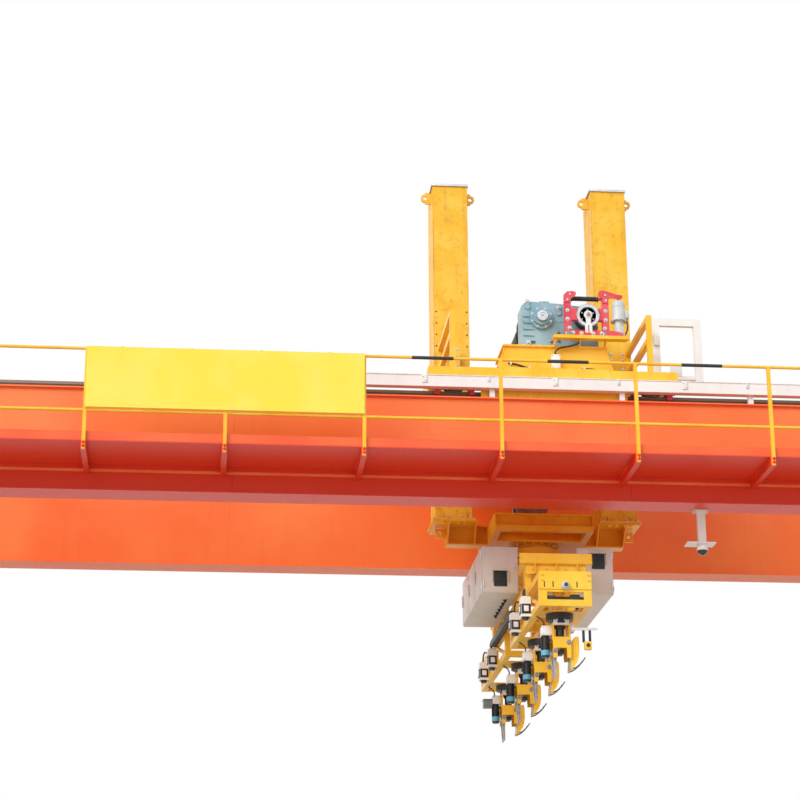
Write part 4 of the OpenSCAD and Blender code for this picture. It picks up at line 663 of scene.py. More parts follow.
# The trolley's frame: box side beams over the rails, box cross beams between them and a deck plate, welded up and
# sprayed in yellow enamel. Bearing caps are bolted on, and red rail sweepers hang before and behind each wheel.
WHEELS_X = (7.11, 9.41)
AXLE_Z = 1.28
CAP_FROM_RAIL = 0.12
CROSS_BEAM_FACES_X = (6.985, 7.535, 8.985, 9.535)
SWEEP_FROM_WHEEL = 0.2
SWEEP_HALF = 0.03
SWEEP_LOW, SWEEP_HIGH = 1.105, 1.222
SWEEP_LEG_OUT, SWEEP_LEG_HALF = 0.067, 0.025
SWEEP_BAR_H, SWEEP_BAR_HALF = 0.045, 0.09
dress(machine_yellow, "trolley_side_beams", "trolley_cross_beams", "trolley_deck")
red_enamel = painted_steel("red_enamel", "#dc3444", "#e85b66", "#7d1720", patch_mm=240, stains=0.2)
bm = bmesh.new()
for wheel_x in WHEELS_X:
    for x in (wheel_x - SWEEP_FROM_WHEEL, wheel_x + SWEEP_FROM_WHEEL):
        for y in (-rail_y, rail_y):
            for side in (-1, 1):
                leg_y = y + side * SWEEP_LEG_OUT
                block(bm, (x - SWEEP_HALF, leg_y - SWEEP_LEG_HALF, SWEEP_LOW),
                      (x + SWEEP_HALF, leg_y + SWEEP_LEG_HALF, SWEEP_HIGH))
            block(bm, (x - SWEEP_HALF, y - SWEEP_BAR_HALF, SWEEP_HIGH - SWEEP_BAR_H),
                  (x + SWEEP_HALF, y + SWEEP_BAR_HALF, SWEEP_HIGH))
make("rail_sweepers", bm, red_enamel, "trolley")
for place, beam_y in (("rear", rail_y), ("inner", -rail_y)):
    bolts(place + "_bearing_cap_bolts", 0.018, (0, 1, 0),
          [(x + dx, beam_y + CAP_FROM_RAIL, AXLE_Z + dz) for x in WHEELS_X for dx, dz in circle(0.046, 6)], "trolley")
low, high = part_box("trolley_deck")
bm = bmesh.new()
cross_low, cross_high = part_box("trolley_cross_beams")
for x in (low.x, high.x):
    weld(bm, (x, low.y, low.z), (x, high.y, low.z), WELD_R)
for x in CROSS_BEAM_FACES_X:
    for y in (cross_low.y, cross_high.y):
        weld(bm, (x, y, cross_low.z), (x, y, cross_high.z), WELD_R)
make("trolley_welds", bm, machine_yellow, "trolley")
low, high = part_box("trolley_drive")
drive_x = (low.x + high.x) / 2
bm = bmesh.new()
fins(bm, (drive_x, low.y + 0.062, AXLE_Z), (0, 1, 0), radius=0.075, rise=0.012, length=0.19, count=20)
turned(bm, (drive_x, low.y + 0.06, AXLE_Z), (0, -1, 0),
       [(0.082, 0), (0.084, 0.004), (0.084, 0.05), (0.06, 0.062), (0, 0.062)], 32)
block(bm, (drive_x - 0.05, low.y + 0.09, AXLE_Z + 0.07), (drive_x + 0.05, low.y + 0.2, AXLE_Z + 0.12), 5)
make("trolley_drive_fins", bm, gear_enamel, "trolley")

# The hoist's pedestal: a flared plate stand welded on the deck, with a tray on gussets for the brake, a stand for
# the motor, a bearing stand for the drum and the portal that the rope ends hang from. A white junction box and
# clipped black leads run along its front.
dress(machine_yellow, "hoist_pedestal")
PEDESTAL_FRONT = -1.25
PEDESTAL_CORNERS = ((7.68, 1.452), (9.1, 1.452), (7.76, 1.87), (8.96, 1.87))
TRAY_GUSSETS_X = (8.35, 8.64, 8.954)
BOX_LOW, BOX_HIGH = (8.31, -1.312, 1.595), (8.406, PEDESTAL_FRONT, 1.762)
LID_T, LID_OVER = 0.012, 0.004
GLAND_Y = -1.28
LEAD_R = 0.011
LEAD_CLIPS = ((7.83, 1.656), (8.05, 1.6), (8.7, 1.61), (8.98, 1.556))
bm = bmesh.new()
corners = [(x, PEDESTAL_FRONT, z) for x, z in PEDESTAL_CORNERS]
for start, end, size in ((0, 1, 1.3), (2, 3, 1.0), (0, 2, 1.0), (1, 3, 1.0)):
    weld(bm, corners[start], corners[end], WELD_R * size)
for x in TRAY_GUSSETS_X:
    weld(bm, (x, PEDESTAL_FRONT - 0.03, 1.875), (x, PEDESTAL_FRONT - 0.16, 1.953), WELD_R * 0.7)
make("pedestal_welds", bm, machine_yellow, "trolley")
bm = bmesh.new()
block(bm, BOX_LOW, BOX_HIGH, 6)
block(bm, (BOX_LOW[0] - LID_OVER, BOX_LOW[1] - LID_T, BOX_LOW[2] - LID_OVER),
      (BOX_HIGH[0] + LID_OVER, BOX_LOW[1], BOX_HIGH[2] + LID_OVER), 4)
make("junction_box", bm, white_enamel, "trolley")
bm = bmesh.new()
for x, z, axis in ((8.33, 1.591, (0, 0, -1)), (8.386, 1.591, (0, 0, -1)), (8.36, 1.766, (0, 0, 1))):
    turned(bm, (x, GLAND_Y, z), axis, [(0.016, 0), (0.016, 0.012), (0.013, 0.014), (0.013, 0.026)], 12)
make("junction_box_glands", bm, black_enamel, "trolley")
bolts("junction_box_screws", 0.009, (0, -1, 0),
      [(x, BOX_LOW[1] - LID_T, z) for x in (8.318, 8.398) for z in (1.603, 1.754)], "trolley")


def lead(name, route, radius, body):
    """A free cable: one smooth curve through its route, 24 points long, drawn as a tube."""
    knots = [Vector(p) for p in route]
    path = []
    for k in range(24):
        place = k / 23 * (len(knots) - 1)
        at = min(int(place), len(knots) - 2)
        t = place - at
        before, here = knots[max(at - 1, 0)], knots[at]
        there, after = knots[at + 1], knots[min(at + 2, len(knots) - 1)]
        path.append(0.5 * (2 * here + (there - before) * t + (2 * before - 5 * here + 4 * there - after) * t ** 2
                           + (3 * here - before - 3 * there + after) * t ** 3))
    bm = bmesh.new()
    tube(bm, path, radius, 10)
    piece = make(name, bm, cable_sheath, body)


# Black cable sheath: smooth extruded PVC with a soft gloss, dusty on top.
cable_sheath = clouded("black_cable_sheath", "#131315", "#3a3836", cloud_mm=35, detail=5, gloss=(0.35, 0.65),
                       bump=0.08, IOR=1.53)
lead("pedestal_lead_left", [(7.8, -1.262, 1.66), (7.9, -1.262, 1.645), (8.05, -1.264, 1.6), (8.2, -1.268, 1.565),
                            (8.29, -1.275, 1.55), (8.33, -1.28, 1.572)], LEAD_R, "trolley")
lead("pedestal_lead_right", [(8.386, -1.28, 1.572), (8.43, -1.275, 1.55), (8.55, -1.266, 1.565), (8.7, -1.263, 1.61),
                             (8.85, -1.263, 1.6), (9.02, -1.263, 1.54)], LEAD_R, "trolley")
lead("brake_lead", [(8.36, -1.28, 1.786), (8.365, -1.285, 1.82), (8.42, -1.3, 1.855), (8.52, -1.32, 1.87),
                    (8.62, -1.34, 1.9), (8.66, -1.35, 1.957)], LEAD_R, "trolley")
bm = bmesh.new()
for x, z in LEAD_CLIPS:
    block(bm, (x - 0.012, -1.278, z - 0.02), (x + 0.012, PEDESTAL_FRONT, z + 0.02), 2)
make("lead_clips", bm, zinc, "trolley")

# The hoist's reducer: a cast-iron gear case in blue-grey enamel on a foot flange. It has machined end covers on
# the shafts with bolts round them, a sight glass, a filler and breather, and drain plugs.
REDUCER_FRONT = -1.15
DRUM_X, DRUM_Z = 8.222, 2.271
INPUT_X, INPUT_Z = 8.75, 2.257
FOOT_BOLTS_X, FOOT_BOLTS_Y, FOOT_T = (8.02, 8.2, 8.55, 8.87), (-1.157, -0.833), 0.025
COVER_OUT, BOSS_OUT, HUB_OUT = 0.04, 0.018, 0.12
BOSSES = ((8.06, 2.48), (8.06, 1.96), (8.432, 2.41))
PLUGS = ((8.42, 2.0), (8.42, 2.1), (8.34, 1.99))
dress(gear_enamel, "hoist_reducer")
foot_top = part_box("hoist_reducer")[0].z + FOOT_T
bolts("reducer_foot_bolts", 0.03, (0, 0, 1), [(x, y, foot_top) for x in FOOT_BOLTS_X for y in FOOT_BOLTS_Y], "trolley")
bolts("reducer_cover_bolts", 0.018, (0, -1, 0),
      [(DRUM_X + dx, REDUCER_FRONT - COVER_OUT, DRUM_Z + dz) for dx, dz in circle(0.118, 8, 22.5)], "trolley")
bolts("reducer_boss_bolts", 0.032, (0, -1, 0),
      [(x, REDUCER_FRONT - BOSS_OUT, z) for x, z in BOSSES], "trolley")
bm = bmesh.new()
for x, z in PLUGS:
    turned(bm, (x, REDUCER_FRONT, z), (0, -1, 0),
           [(0.022, 0), (0.022, 0.012), (0.015, 0.016), (0.015, 0.026), (0, 0.026)], 6)
turned(bm, (8.55, -0.99, 2.46), (0, 0, 1), [(0.03, 0), (0.03, 0.03), (0.018, 0.035), (0.018, 0.06), (0.028, 0.065),
                                           (0.028, 0.09), (0, 0.095)], 20)
make("reducer_plugs", bm, wheel_steel, "trolley")
bm = bmesh.new()
turned(bm, (DRUM_X, REDUCER_FRONT - HUB_OUT, DRUM_Z), (0, -1, 0),
       [(0.066, -0.006), (0.064, 0.004), (0.036, 0.006), (0.032, 0.001), (0.014, 0.001), (0.012, -0.008)], 32)
make("reducer_shaft_end", bm, zinc, "trolley")
bm = bmesh.new()
weld(bm, (8.0, REDUCER_FRONT, 2.235), (8.9, REDUCER_FRONT, 2.235), 0.006)
turned(bm, (8.6, REDUCER_FRONT, 2.06), (0, -1, 0),
       [(0.035, 0), (0.035, 0.01), (0.025, 0.012), (0.025, 0.006), (0, 0.006)], 24)
make("reducer_split_line", bm, gear_enamel, "trolley")

# The drum brake: a red frame of thick plate with two arms that press shoes on the drum, a spring tie rod between
# the arms, and a white hand-release lever that hangs from the hub. Zinc-plated bolts hold it all.
BRAKE_FRONT = -1.38
ARM_BOLTS = ((8.535, 2.5), (8.5, 2.43), (8.5, 2.3), (8.5, 2.19), (8.52, 2.08), (8.56, 2.02), (8.955, 2.5), (8.96, 2.43),
             (8.955, 2.3), (8.955, 2.19), (8.94, 2.08), (8.9, 2.02), (8.66, 2.015), (8.8, 2.015))
CHEEK_T = 0.012
SPRING_Y, SPRING_Z = -1.35, 2.461
ARM_CHEEK = ((8.462, 2.4), (8.462, 2.488), (8.493, 2.529), (8.557, 2.541), (8.606, 2.533), (8.604, 2.493),
             (8.579, 2.467), (8.551, 2.456), (8.53, 2.4))
LEVER_CHEEK = ((8.868, 2.51), (8.884, 2.548), (8.915, 2.562), (8.955, 2.556), (9.065, 2.523), (9.15, 2.485),
               (9.15, 2.455), (9.031, 2.466), (8.99, 2.452), (8.985, 2.4), (8.92, 2.4), (8.92, 2.462), (8.882, 2.48))
THRUSTER_FOOT = ((8.945, 1.978), (8.949, 2.043), (9.031, 2.043), (9.118, 2.03), (9.165, 1.978))
dress(red_enamel, "brake_frame")
bm = bmesh.new()
for outline, face in ((ARM_CHEEK, BRAKE_FRONT), (LEVER_CHEEK, BRAKE_FRONT), (THRUSTER_FOOT, BRAKE_FRONT - 2 * CHEEK_T)):
    plate(bm, [(x, face - CHEEK_T, z) for x, z in outline], (0, CHEEK_T, 0))
make("brake_cheek_plates", bm, red_enamel, "trolley")
bolts("brake_bolts", 0.026, (0, -1, 0), [(x, BRAKE_FRONT, z) for x, z in ARM_BOLTS], "trolley")

# Cast iron: a dark grey machined casting with fine pits and an oily sheen.
cast_iron = clouded("machined_cast_iron", "#2b2b2d", "#57565a", cloud_mm=140, detail=3, gloss=(0.3, 0.6),
                    bump=0.2, grain=(18, 6), Metallic=0.75)
dress(cast_iron, "brake_drum", "rope_drum")
low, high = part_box("brake_drum")
bm = bmesh.new()
turned(bm, (INPUT_X, low.y, INPUT_Z), (0, -1, 0), [(0.1, -0.03), (0.1, 0.004), (0.104, 0.007), (0.137, 0.007),
                                                   (0.1425, 0.002), (0.1425, -0.03)], 56)
make("brake_drum_bright_rim", bm, zinc, "trolley")
bolts("brake_drum_bolts", 0.018, (0, -1, 0),
      [(INPUT_X + dx, low.y + 0.04, INPUT_Z + dz) for dx, dz in circle(0.077, 6, 30)], "trolley")
bm = bmesh.new()
turned(bm, (INPUT_X, low.y, INPUT_Z), (0, -1, 0), [(0.05, 0), (0.05, 0.022), (0.042, 0.028), (0, 0.028)], 32)
plate(bm, [(INPUT_X + dx, low.y - 0.008, INPUT_Z - drop)
           for dx, drop in ((-0.034, 0.02), (0.034, 0.02), (0.026, 0.13), (-0.026, 0.13))], (0, -0.014, 0))
for x in (INPUT_X - 0.042, INPUT_X + 0.006):
    block(bm, (x, low.y - 0.036, INPUT_Z - 0.235), (x + 0.036, low.y - 0.004, INPUT_Z - 0.12), 4)
make("brake_release_lever", bm, white_enamel, "trolley")
bm = bmesh.new()
coil = [(8.56 + 0.3 * k / 240, SPRING_Y + 0.024 * math.cos(k * 0.66), SPRING_Z + 0.024 * math.sin(k * 0.66))
        for k in range(241)]
tube(bm, coil, 0.006, 8)
for x in (8.55, 8.865):
    turned(bm, (x, SPRING_Y, SPRING_Z), (1, 0, 0), [(0.034, 0), (0.034, 0.012), (0, 0.012)], 6)
make("brake_spring", bm, cast_iron, "trolley")
bm = bmesh.new()
turned(bm, (INPUT_X, low.y - 0.028, INPUT_Z), (0, -1, 0), [(0.024, 0), (0.024, 0.012), (0.018, 0.016), (0, 0.016)], 6)
for x in (8.505, 8.955):
    turned(bm, (x, BRAKE_FRONT, 2.0), (0, -1, 0), [(0.04, 0), (0.04, 0.014), (0.03, 0.02), (0.03, 0.03), (0, 0.03)], 24)
make("brake_pivot_pins", bm, wheel_steel, "trolley")

# The brake's thruster: an electro-hydraulic cylinder in light grey enamel with a cast cover bolted on its flange,
# a cable gland at its side, and a lead that loops down to the tray.
light_grey = painted_steel("light_grey_enamel", "#c6ccce", "#dadfe0", "#767b7d", patch_mm=200, stains=0.25)
dress(light_grey, "brake_thruster", "hoist_motor")
THRUSTER_X, THRUSTER_Y, FLANGE_UNDER_Z = 9.117, -1.35, 2.186
bolts("thruster_flange_bolts", 0.018, (0, 0, -1),
      [(THRUSTER_X + dx, THRUSTER_Y + dy, FLANGE_UNDER_Z) for dx, dy in circle(0.084, 6, 20)], "trolley")
bm = bmesh.new()
turned(bm, (THRUSTER_X, THRUSTER_Y, 2.36), (0, 0, 1), [(0.0805, 0), (0.083, 0.003), (0.083, 0.017), (0.0805, 0.02)], 40)
block(bm, (THRUSTER_X + 0.07, THRUSTER_Y - 0.045, 2.22), (THRUSTER_X + 0.115, THRUSTER_Y + 0.045, 2.31), 6)
for dx in (-0.03, 0.03):
    block(bm, (THRUSTER_X + dx - 0.012, THRUSTER_Y - 0.05, 2.02), (THRUSTER_X + dx + 0.012, THRUSTER_Y + 0.05, 2.12), 4)
make("thruster_fittings", bm, light_grey, "trolley")
lead("thruster_lead", [(THRUSTER_X + dx, THRUSTER_Y + dy, z) for dx, dy, z in (
    (0.095, 0, 2.22), (0.098, -0.005, 2.17), (0.1, -0.01, 2.11), (0.085, 0.005, 2.05), (0.05, 0.055, 2.0),
    (0.0, 0.085, 1.992))], 0.009, "trolley")

# The hoist motor: a finned cast body in light grey enamel, flanged to the reducer, with a pressed steel fan cowl
# and a terminal box on top.
cowl_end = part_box("hoist_motor")[1].y
bm = bmesh.new()
fins(bm, (INPUT_X, -0.725, INPUT_Z), (0, 1, 0), radius=0.16, rise=0.022, length=0.38, count=40)
turned(bm, (INPUT_X, cowl_end - 0.088, INPUT_Z), (0, 1, 0),
       [(0.17, 0), (0.18, 0.006), (0.18, 0.07), (0.165, 0.086), (0, 0.086)], 48)
block(bm, (INPUT_X - 0.08, -0.595, 2.455), (INPUT_X + 0.08, -0.435, 2.466), 3)
make("hoist_motor_fins", bm, light_grey, "trolley")
bm = bmesh.new()
for k in range(1, 6):
    inner, outer = 0.028 * k - 0.005, 0.028 * k + 0.005
    turned(bm, (INPUT_X, cowl_end, INPUT_Z), (0, 1, 0), [(inner, 0), (inner, 0.003), (outer, 0.003), (outer, 0)], 40)
make("motor_cowl_grille", bm, black_enamel, "trolley")

# The hoist's rope: six-strand wire rope, greased and nearly black, wound on the grooved cast drum, down to the
# crosshead's sheaves and back up to its anchors. The falls hang between trolley and lift.
ROPE_R = 0.008
FALL_Y = 0.11
WRAP_R = 0.18
LAY_LENGTH = 0.11
WINDING_PITCH = 0.02

# Greased wire rope: dark strands with a wet sheen on their crowns and brown dust in between.
wire_rope = clouded("greased_wire_rope", "#1b1a19", "#4d453d", cloud_mm=25, detail=5, gloss=(0.25, 0.65),
                    bump=0.3, Metallic=0.6)

fall_low, fall_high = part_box("hoist_ropes")
drum_reach = (fall_high.x - fall_low.x) / 2 - ROPE_R
bm = bmesh.new()
for side in (-1, 1):
    for y in (-FALL_Y, FALL_Y):
        top = Vector((DRUM_X + side * drum_reach, y, fall_high.z))
        foot = Vector((DRUM_X + side * WRAP_R, y, fall_low.z))
        steps = int((top - foot).length / LAY_LENGTH * 8)
        for strand in range(6):
            line = []
            for k in range(steps + 1):
                turn = 2 * math.pi * (strand / 6 + k / 8)
                line.append(top.lerp(foot, k / steps) + Vector((math.cos(turn), math.sin(turn), 0)) * ROPE_R * 0.64)
            tube(bm, line, ROPE_R * 0.36, 5)
falls = make("rope_falls", bm, wire_rope, None)
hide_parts("hoist_ropes")
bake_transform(falls)
bm = bmesh.new()
for side, turns in ((-1, 20), (1, 17)):
    line = []
    for k in range(turns * 24 + 1):
        turn = math.pi + side * 2 * math.pi * k / 24
        line.append((DRUM_X + drum_reach * math.cos(turn), side * (FALL_Y + WINDING_PITCH * k / 24),
                     fall_high.z + drum_reach * math.sin(turn)))
    tube(bm, line, ROPE_R, 6)
make("drum_windings", bm, wire_rope, "trolley")
bm = bmesh.new()
for y in (-FALL_Y, FALL_Y):
    tube(bm, [(DRUM_X + WRAP_R * math.cos(t), y, fall_low.z + WRAP_R * math.sin(t))
              for t in (math.pi + math.pi * k / 24 for k in range(25))], ROPE_R, 8)
make("sheave_wraps", bm, wire_rope, "lift")

# The mast guides: frames of square tube welded on the cross beams, in yellow enamel, with plates that carry
# black polyurethane rollers in steel forks. The white service frame of square tube stands beside the right one.
dress(machine_yellow, "left_guide_frame", "right_guide_frame")
dress(rubber, "guide_rollers")
dress(white_enamel, "service_frame")
TROLLEY_X = 8.26
PLATE_Y = 0.362
GUIDE_TUBE_X, TUBE_HALF, TUBE_WELD_R = 1.155, 0.03, 0.006
for place, facing in (("front", -1), ("rear", 1)):
    bolts(place + "_guide_plate_bolts", 0.018, (0, facing, 0),
          [(TROLLEY_X + m * (1.0 + dx), facing * PLATE_Y, z)
           for m in (-1, 1) for dx in (-0.05, 0.09) for z in (1.86, 1.94, 2.06, 2.14)], "trolley")
bm = bmesh.new()
for m in (-1, 1):
    left, right = (TROLLEY_X + m * GUIDE_TUBE_X + dx for dx in (-TUBE_HALF, TUBE_HALF))
    for s in (-1, 1):
        for y in (s * 0.392, s * 1.575):
            for z in (1.84, 2.11):
                weld(bm, (left, y, z), (right, y, z), TUBE_WELD_R)
        for x in (left, right):
            weld(bm, (x, s * 1.575, 1.44), (x, s * 1.635, 1.44), TUBE_WELD_R)
make("guide_frame_welds", bm, machine_yellow, "trolley")
low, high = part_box("service_frame")
bm = bmesh.new()
block(bm, (low.x + 0.2, low.y - 0.004, low.z + 0.125), (low.x + 0.34, low.y + 0.01, low.z + 0.245), 4)
block(bm, (low.x + 0.01, low.y - 0.04, low.z + 0.5), (low.x + 0.08, low.y, low.z + 0.62), 5)
make("service_frame_boxes", bm, white_enamel, "trolley")
bolts("service_frame_bolts", 0.018, (0, -1, 0),
      [(low.x + dx, low.y, low.z + dz) for dx in (0.02, 0.07) for dz in (0.03, 0.1)], "trolley")

# The masts: square box tubes welded from plate, with foot plates, gussets, a cap and lifting eyes. Their yellow
# enamel is old: rollers and loads have scuffed and scratched it, and grime has settled in the spots.
MAST_CENTRES = (7.26, 9.26)
MAST_HALF_W, MAST_HALF_D = 0.215, 0.24
CAP_HALF_W, CAP_HALF_D = 0.229, 0.254
EDGING_HALF = 0.003
mast_enamel = painted_steel("weathered_yellow_enamel", "#f9bd22", "#fccd48", "#a8661a", patch_mm=330, stains=0.4,
                            scuffs=0.4, roughness=0.45)
dress(mast_enamel, "left_mast", "right_mast")
mast_low, mast_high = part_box("left_mast")
foot_top, cap_z = mast_low.z + 0.025, mast_high.z - 0.03

# Weathered fasteners: steel heads gone brown.
rusty_steel = clouded("rusted_steel_heads", "#6b3317", "#a8612d", cloud_mm=15, detail=5, gloss=(0.6, 0.9),
                      bump=0.3, Metallic=0.3)
bm = bmesh.new()
for centre in MAST_CENTRES:
    for face in (-1, 1):
        for dx in (-0.185, 0.19):
            for k in range(5):
                turned(bm, (centre + dx, face * MAST_HALF_D, 2.08 + 0.15 * k), (0, face, 0),
                       [(0.011, 0), (0.01, 0.005), (0, 0.007)], 8)
make("mast_fixing_heads", bm, rusty_steel, "lift")
bm = bmesh.new()
for centre in MAST_CENTRES:
    for y in (-CAP_HALF_D, CAP_HALF_D):
        block(bm, (centre - CAP_HALF_W, y - EDGING_HALF, cap_z), (centre + CAP_HALF_W, y + EDGING_HALF, mast_high.z), 1)
    for x in (centre - CAP_HALF_W, centre + CAP_HALF_W):
        block(bm, (x - EDGING_HALF, -CAP_HALF_D, cap_z), (x + EDGING_HALF, CAP_HALF_D, mast_high.z), 1)
make("mast_cap_edging", bm, zinc, "lift")
bolts("mast_foot_bolts", 0.03, (0, 0, 1),
      [(c + dx, s * 0.29, foot_top) for c in MAST_CENTRES for dx in (-0.2, -0.07, 0.07, 0.2) for s in (-1, 1)], "lift")
bolts("mast_foot_nuts", 0.03, (0, 0, -1),
      [(c + dx, s * 0.285, -0.007) for c in MAST_CENTRES for dx in (-0.13, -0.05, 0.05, 0.13) for s in (-1, 1)], "lift",
      machine_yellow)
bm = bmesh.new()
for centre in MAST_CENTRES:
    left, right = centre - MAST_HALF_W, centre + MAST_HALF_W
    for x in (left, right):
        for y in (-MAST_HALF_D, MAST_HALF_D):
            weld(bm, (x, y, foot_top), (x, y, cap_z), 0.005, 0.1)
    for y in (-MAST_HALF_D, MAST_HALF_D):
        weld(bm, (left, y, foot_top), (right, y, foot_top), WELD_R)
make("mast_welds", bm, mast_enamel, "lift")

# The crosshead and slewing column: an I-beam with a channel frame round its middle, welded from plate, and the
# column that carries the slewing ring. Yellow enamel, with a black seal lip and a circle of ring bolts.
# Painted shade: the crosshead and column get a deeper, more orange yellow than the other yellow parts, standing for the
# shade between the girders and the orange light the girders throw back.
yellow_enamel_deepened_as_painted_shade = painted_steel("golden_yellow_enamel_as_painted_shade", "#f8a311", "#fbb32b", "#aa560a", patch_mm=400, stains=0.25)
dress(yellow_enamel_deepened_as_painted_shade, "crosshead", "slewing_column")
dress(machine_yellow, "turntable")
ring_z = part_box("turntable")[1].z
bm = bmesh.new()
turned(bm, (TROLLEY_X, 0, ring_z - 0.008), (0, 0, 1), [(0.29, 0), (0.3135, 0), (0.3135, 0.016), (0.29, 0.016)], 64)
make("slewing_ring_seal", bm, rubber, "lift")
bolts("slewing_ring_bolts", 0.024, (0, 0, -1),
      [(TROLLEY_X + dx, y, ring_z - 0.06) for dx, y in circle(0.282, 24)], "spreader")
low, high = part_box("crosshead")
bm = bmesh.new()
for side in (-1, 1):
    for y in (-0.008, 0.008):
        for z in (low.z + 0.02, high.z - 0.02):
            weld(bm, (TROLLEY_X + side * 0.6, y, z), (TROLLEY_X + side * 1.05, y, z), 0.006)
    for y in (-0.3, 0.3):
        weld(bm, (TROLLEY_X + side * 0.58, y, low.z + 0.02), (TROLLEY_X + side * 0.58, y * 2.4, low.z + 0.02), 0.006)
make("crosshead_welds", bm, yellow_enamel_deepened_as_painted_shade, "lift")
bolts("column_flange_bolts", 0.026, (0, 0, -1),
      [(TROLLEY_X + dx, y, low.z) for dx, y in circle(0.262, 16, 11.25)], "lift", yellow_enamel_deepened_as_painted_shade)

# The spreader's top frame and carrier rails: box beams with a front bar over a ribbed plate, and two guide rails
# hung below on plates. Welded, in yellow enamel, with bolted rail ends.
dress(machine_yellow, "spreader_head", "carrier_rails")
low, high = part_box("spreader_head")
for name, face, outward in (("front", low.y, -1), ("rear", high.y, 1)):
    bm = bmesh.new()
    weld(bm, (low.x, face - outward * 0.002, low.z + 0.118), (high.x, face - outward * 0.002, low.z + 0.118), 0.006)
    for x in (low.x + 0.02, high.x - 0.02):
        block(bm, (x - 0.012, face, low.z + 0.16), (x + 0.012, face + outward * 0.008, low.z + 0.2), 2)
    make(name + "_bar_welds", bm, machine_yellow, "spreader")
    bolts(name + "_bar_bolts", 0.02, (0, outward, 0),
          [(x, face - outward * 0.04, low.z + 0.06) for x in (8.0, 8.15, 8.37, 8.52)], "spreader",
          machine_yellow)
rail_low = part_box("carrier_rails")[0]
bolts("carrier_rail_bolts", 0.024, (0, -1, 0),
      [(x, rail_low.y, rail_low.z + 0.035) for x in (rail_low.x + 0.055, rail_low.x + 0.495)], "spreader",
      machine_yellow)

# The control cabinets: folded steel enclosures in textured light grey powder coat, hung beside the top frame.
# Doors on hinges with swing handles, a filter fan under a rain hood at each end, and cable glands below.
DOOR_GAP = 0.012
DOOR_T = 0.007
HANDLE_OUT = 0.018
FAN_HALF_W, FAN_HALF_H = 0.076, 0.09


def end_block(bm, end, facing, across, up, out, round_mm):
    """A block on a cabinet's end face: its reach across in x, up in z, and out in front of the face."""
    block(bm, (across[0], end + facing * out[0], up[0]), (across[1], end + facing * out[1], up[1]), round_mm)


cabinet_coat = painted_steel("grey_powder_coat", "#dfd9d1", "#e8e3dc", "#96907f", patch_mm=500, stains=0.1,
                             roughness=0.5)
dress(cabinet_coat, "left_cabinet", "right_cabinet")
for name, outward in (("left_cabinet", -1), ("right_cabinet", 1)):
    low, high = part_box(name)
    outer = low.x if outward < 0 else high.x
    doors, metal, fan = bmesh.new(), bmesh.new(), bmesh.new()
    leaf = (high.y - low.y) / 3
    for k in range(3):
        y0, y1 = low.y + k * leaf + DOOR_GAP, low.y + (k + 1) * leaf - DOOR_GAP
        face = outer + outward * DOOR_T
        block(doors, (outer, y0, low.z + DOOR_GAP), (face, y1, high.z - DOOR_GAP), 2.5)
        block(metal, (face, y1 - 0.075, low.z + 0.22), (face + outward * HANDLE_OUT, y1 - 0.045, low.z + 0.36), 5)
        for z in (low.z + 0.07, high.z - 0.07):
            tube(metal, [(face, y0 - 0.004, z - 0.03), (face, y0 - 0.004, z + 0.03)], 0.008, 10)
    for end, facing in ((low.y, -1), (high.y, 1)):
        end_block(doors, end, facing, (low.x + DOOR_GAP, high.x - DOOR_GAP), (low.z + DOOR_GAP, high.z - DOOR_GAP),
                  (0.0, DOOR_T), 2.5)
        fan_x = (low.x + high.x) / 2 + (0.0 if outward < 0 else 0.04)
        fan_z = low.z + (0.16 if outward < 0 else 0.385)
        across = (fan_x - FAN_HALF_W, fan_x + FAN_HALF_W)
        end_block(fan, end, facing, across, (fan_z - FAN_HALF_H, fan_z + FAN_HALF_H), (DOOR_T, DOOR_T + 0.012), 6)
        for k in range(7):
            z = fan_z - 0.066 + 0.022 * k
            end_block(fan, end, facing, (fan_x - 0.06, fan_x + 0.06), (z - 0.007, z + 0.003),
                      (DOOR_T + 0.01, DOOR_T + 0.022), 1.5)
        hood_z = fan_z + FAN_HALF_H
        end_block(doors, end, facing, (across[0] - 0.02, across[1] + 0.02), (hood_z, hood_z + 0.01),
                  (DOOR_T, DOOR_T + 0.05), 3)
        for x in (across[0] - 0.02, across[1] + 0.012):
            end_block(doors, end, facing, (x, x + 0.008), (fan_z - 0.04, hood_z), (DOOR_T, DOOR_T + 0.03), 2)
        for z in (low.z + 0.09, high.z - 0.09):
            hinge_x = low.x + 0.016 if outward < 0 else high.x - 0.016
            tube(metal, [(hinge_x, end + facing * 0.011, z + dz) for dz in (-0.03, 0.03)], 0.009, 10)
        lock_x = high.x - 0.05 if outward < 0 else low.x + 0.06
        turned(metal, (lock_x, end + facing * DOOR_T, fan_z + (0.14 if outward < 0 else -0.2)), (0, facing, 0),
               [(0.016, 0), (0.016, 0.01), (0.011, 0.014), (0, 0.014)], 16)
    block(doors, (low.x - 0.004 * (outward < 0), low.y - 0.006, high.z - 0.011),
          (high.x + 0.004 * (outward > 0), high.y + 0.006, high.z + 0.004), 2)
    make(name + "_doors", doors, cabinet_coat, "spreader")
    make(name + "_hinges_and_handles", metal, zinc, "spreader")
    make(name + "_filter_fans", fan, black_enamel, "spreader")
    glands = bmesh.new()
    for k in range(6):
        turned(glands, ((low.x + high.x) / 2 - outward * 0.1, low.y + 0.35 + 0.16 * k, low.z), (0, 0, -1),
               [(0.022, 0), (0.022, 0.012), (0.016, 0.016), (0.016, 0.03), (0.01, 0.034)], 6)
    make(name + "_cable_glands", glands, black_enamel, "spreader")

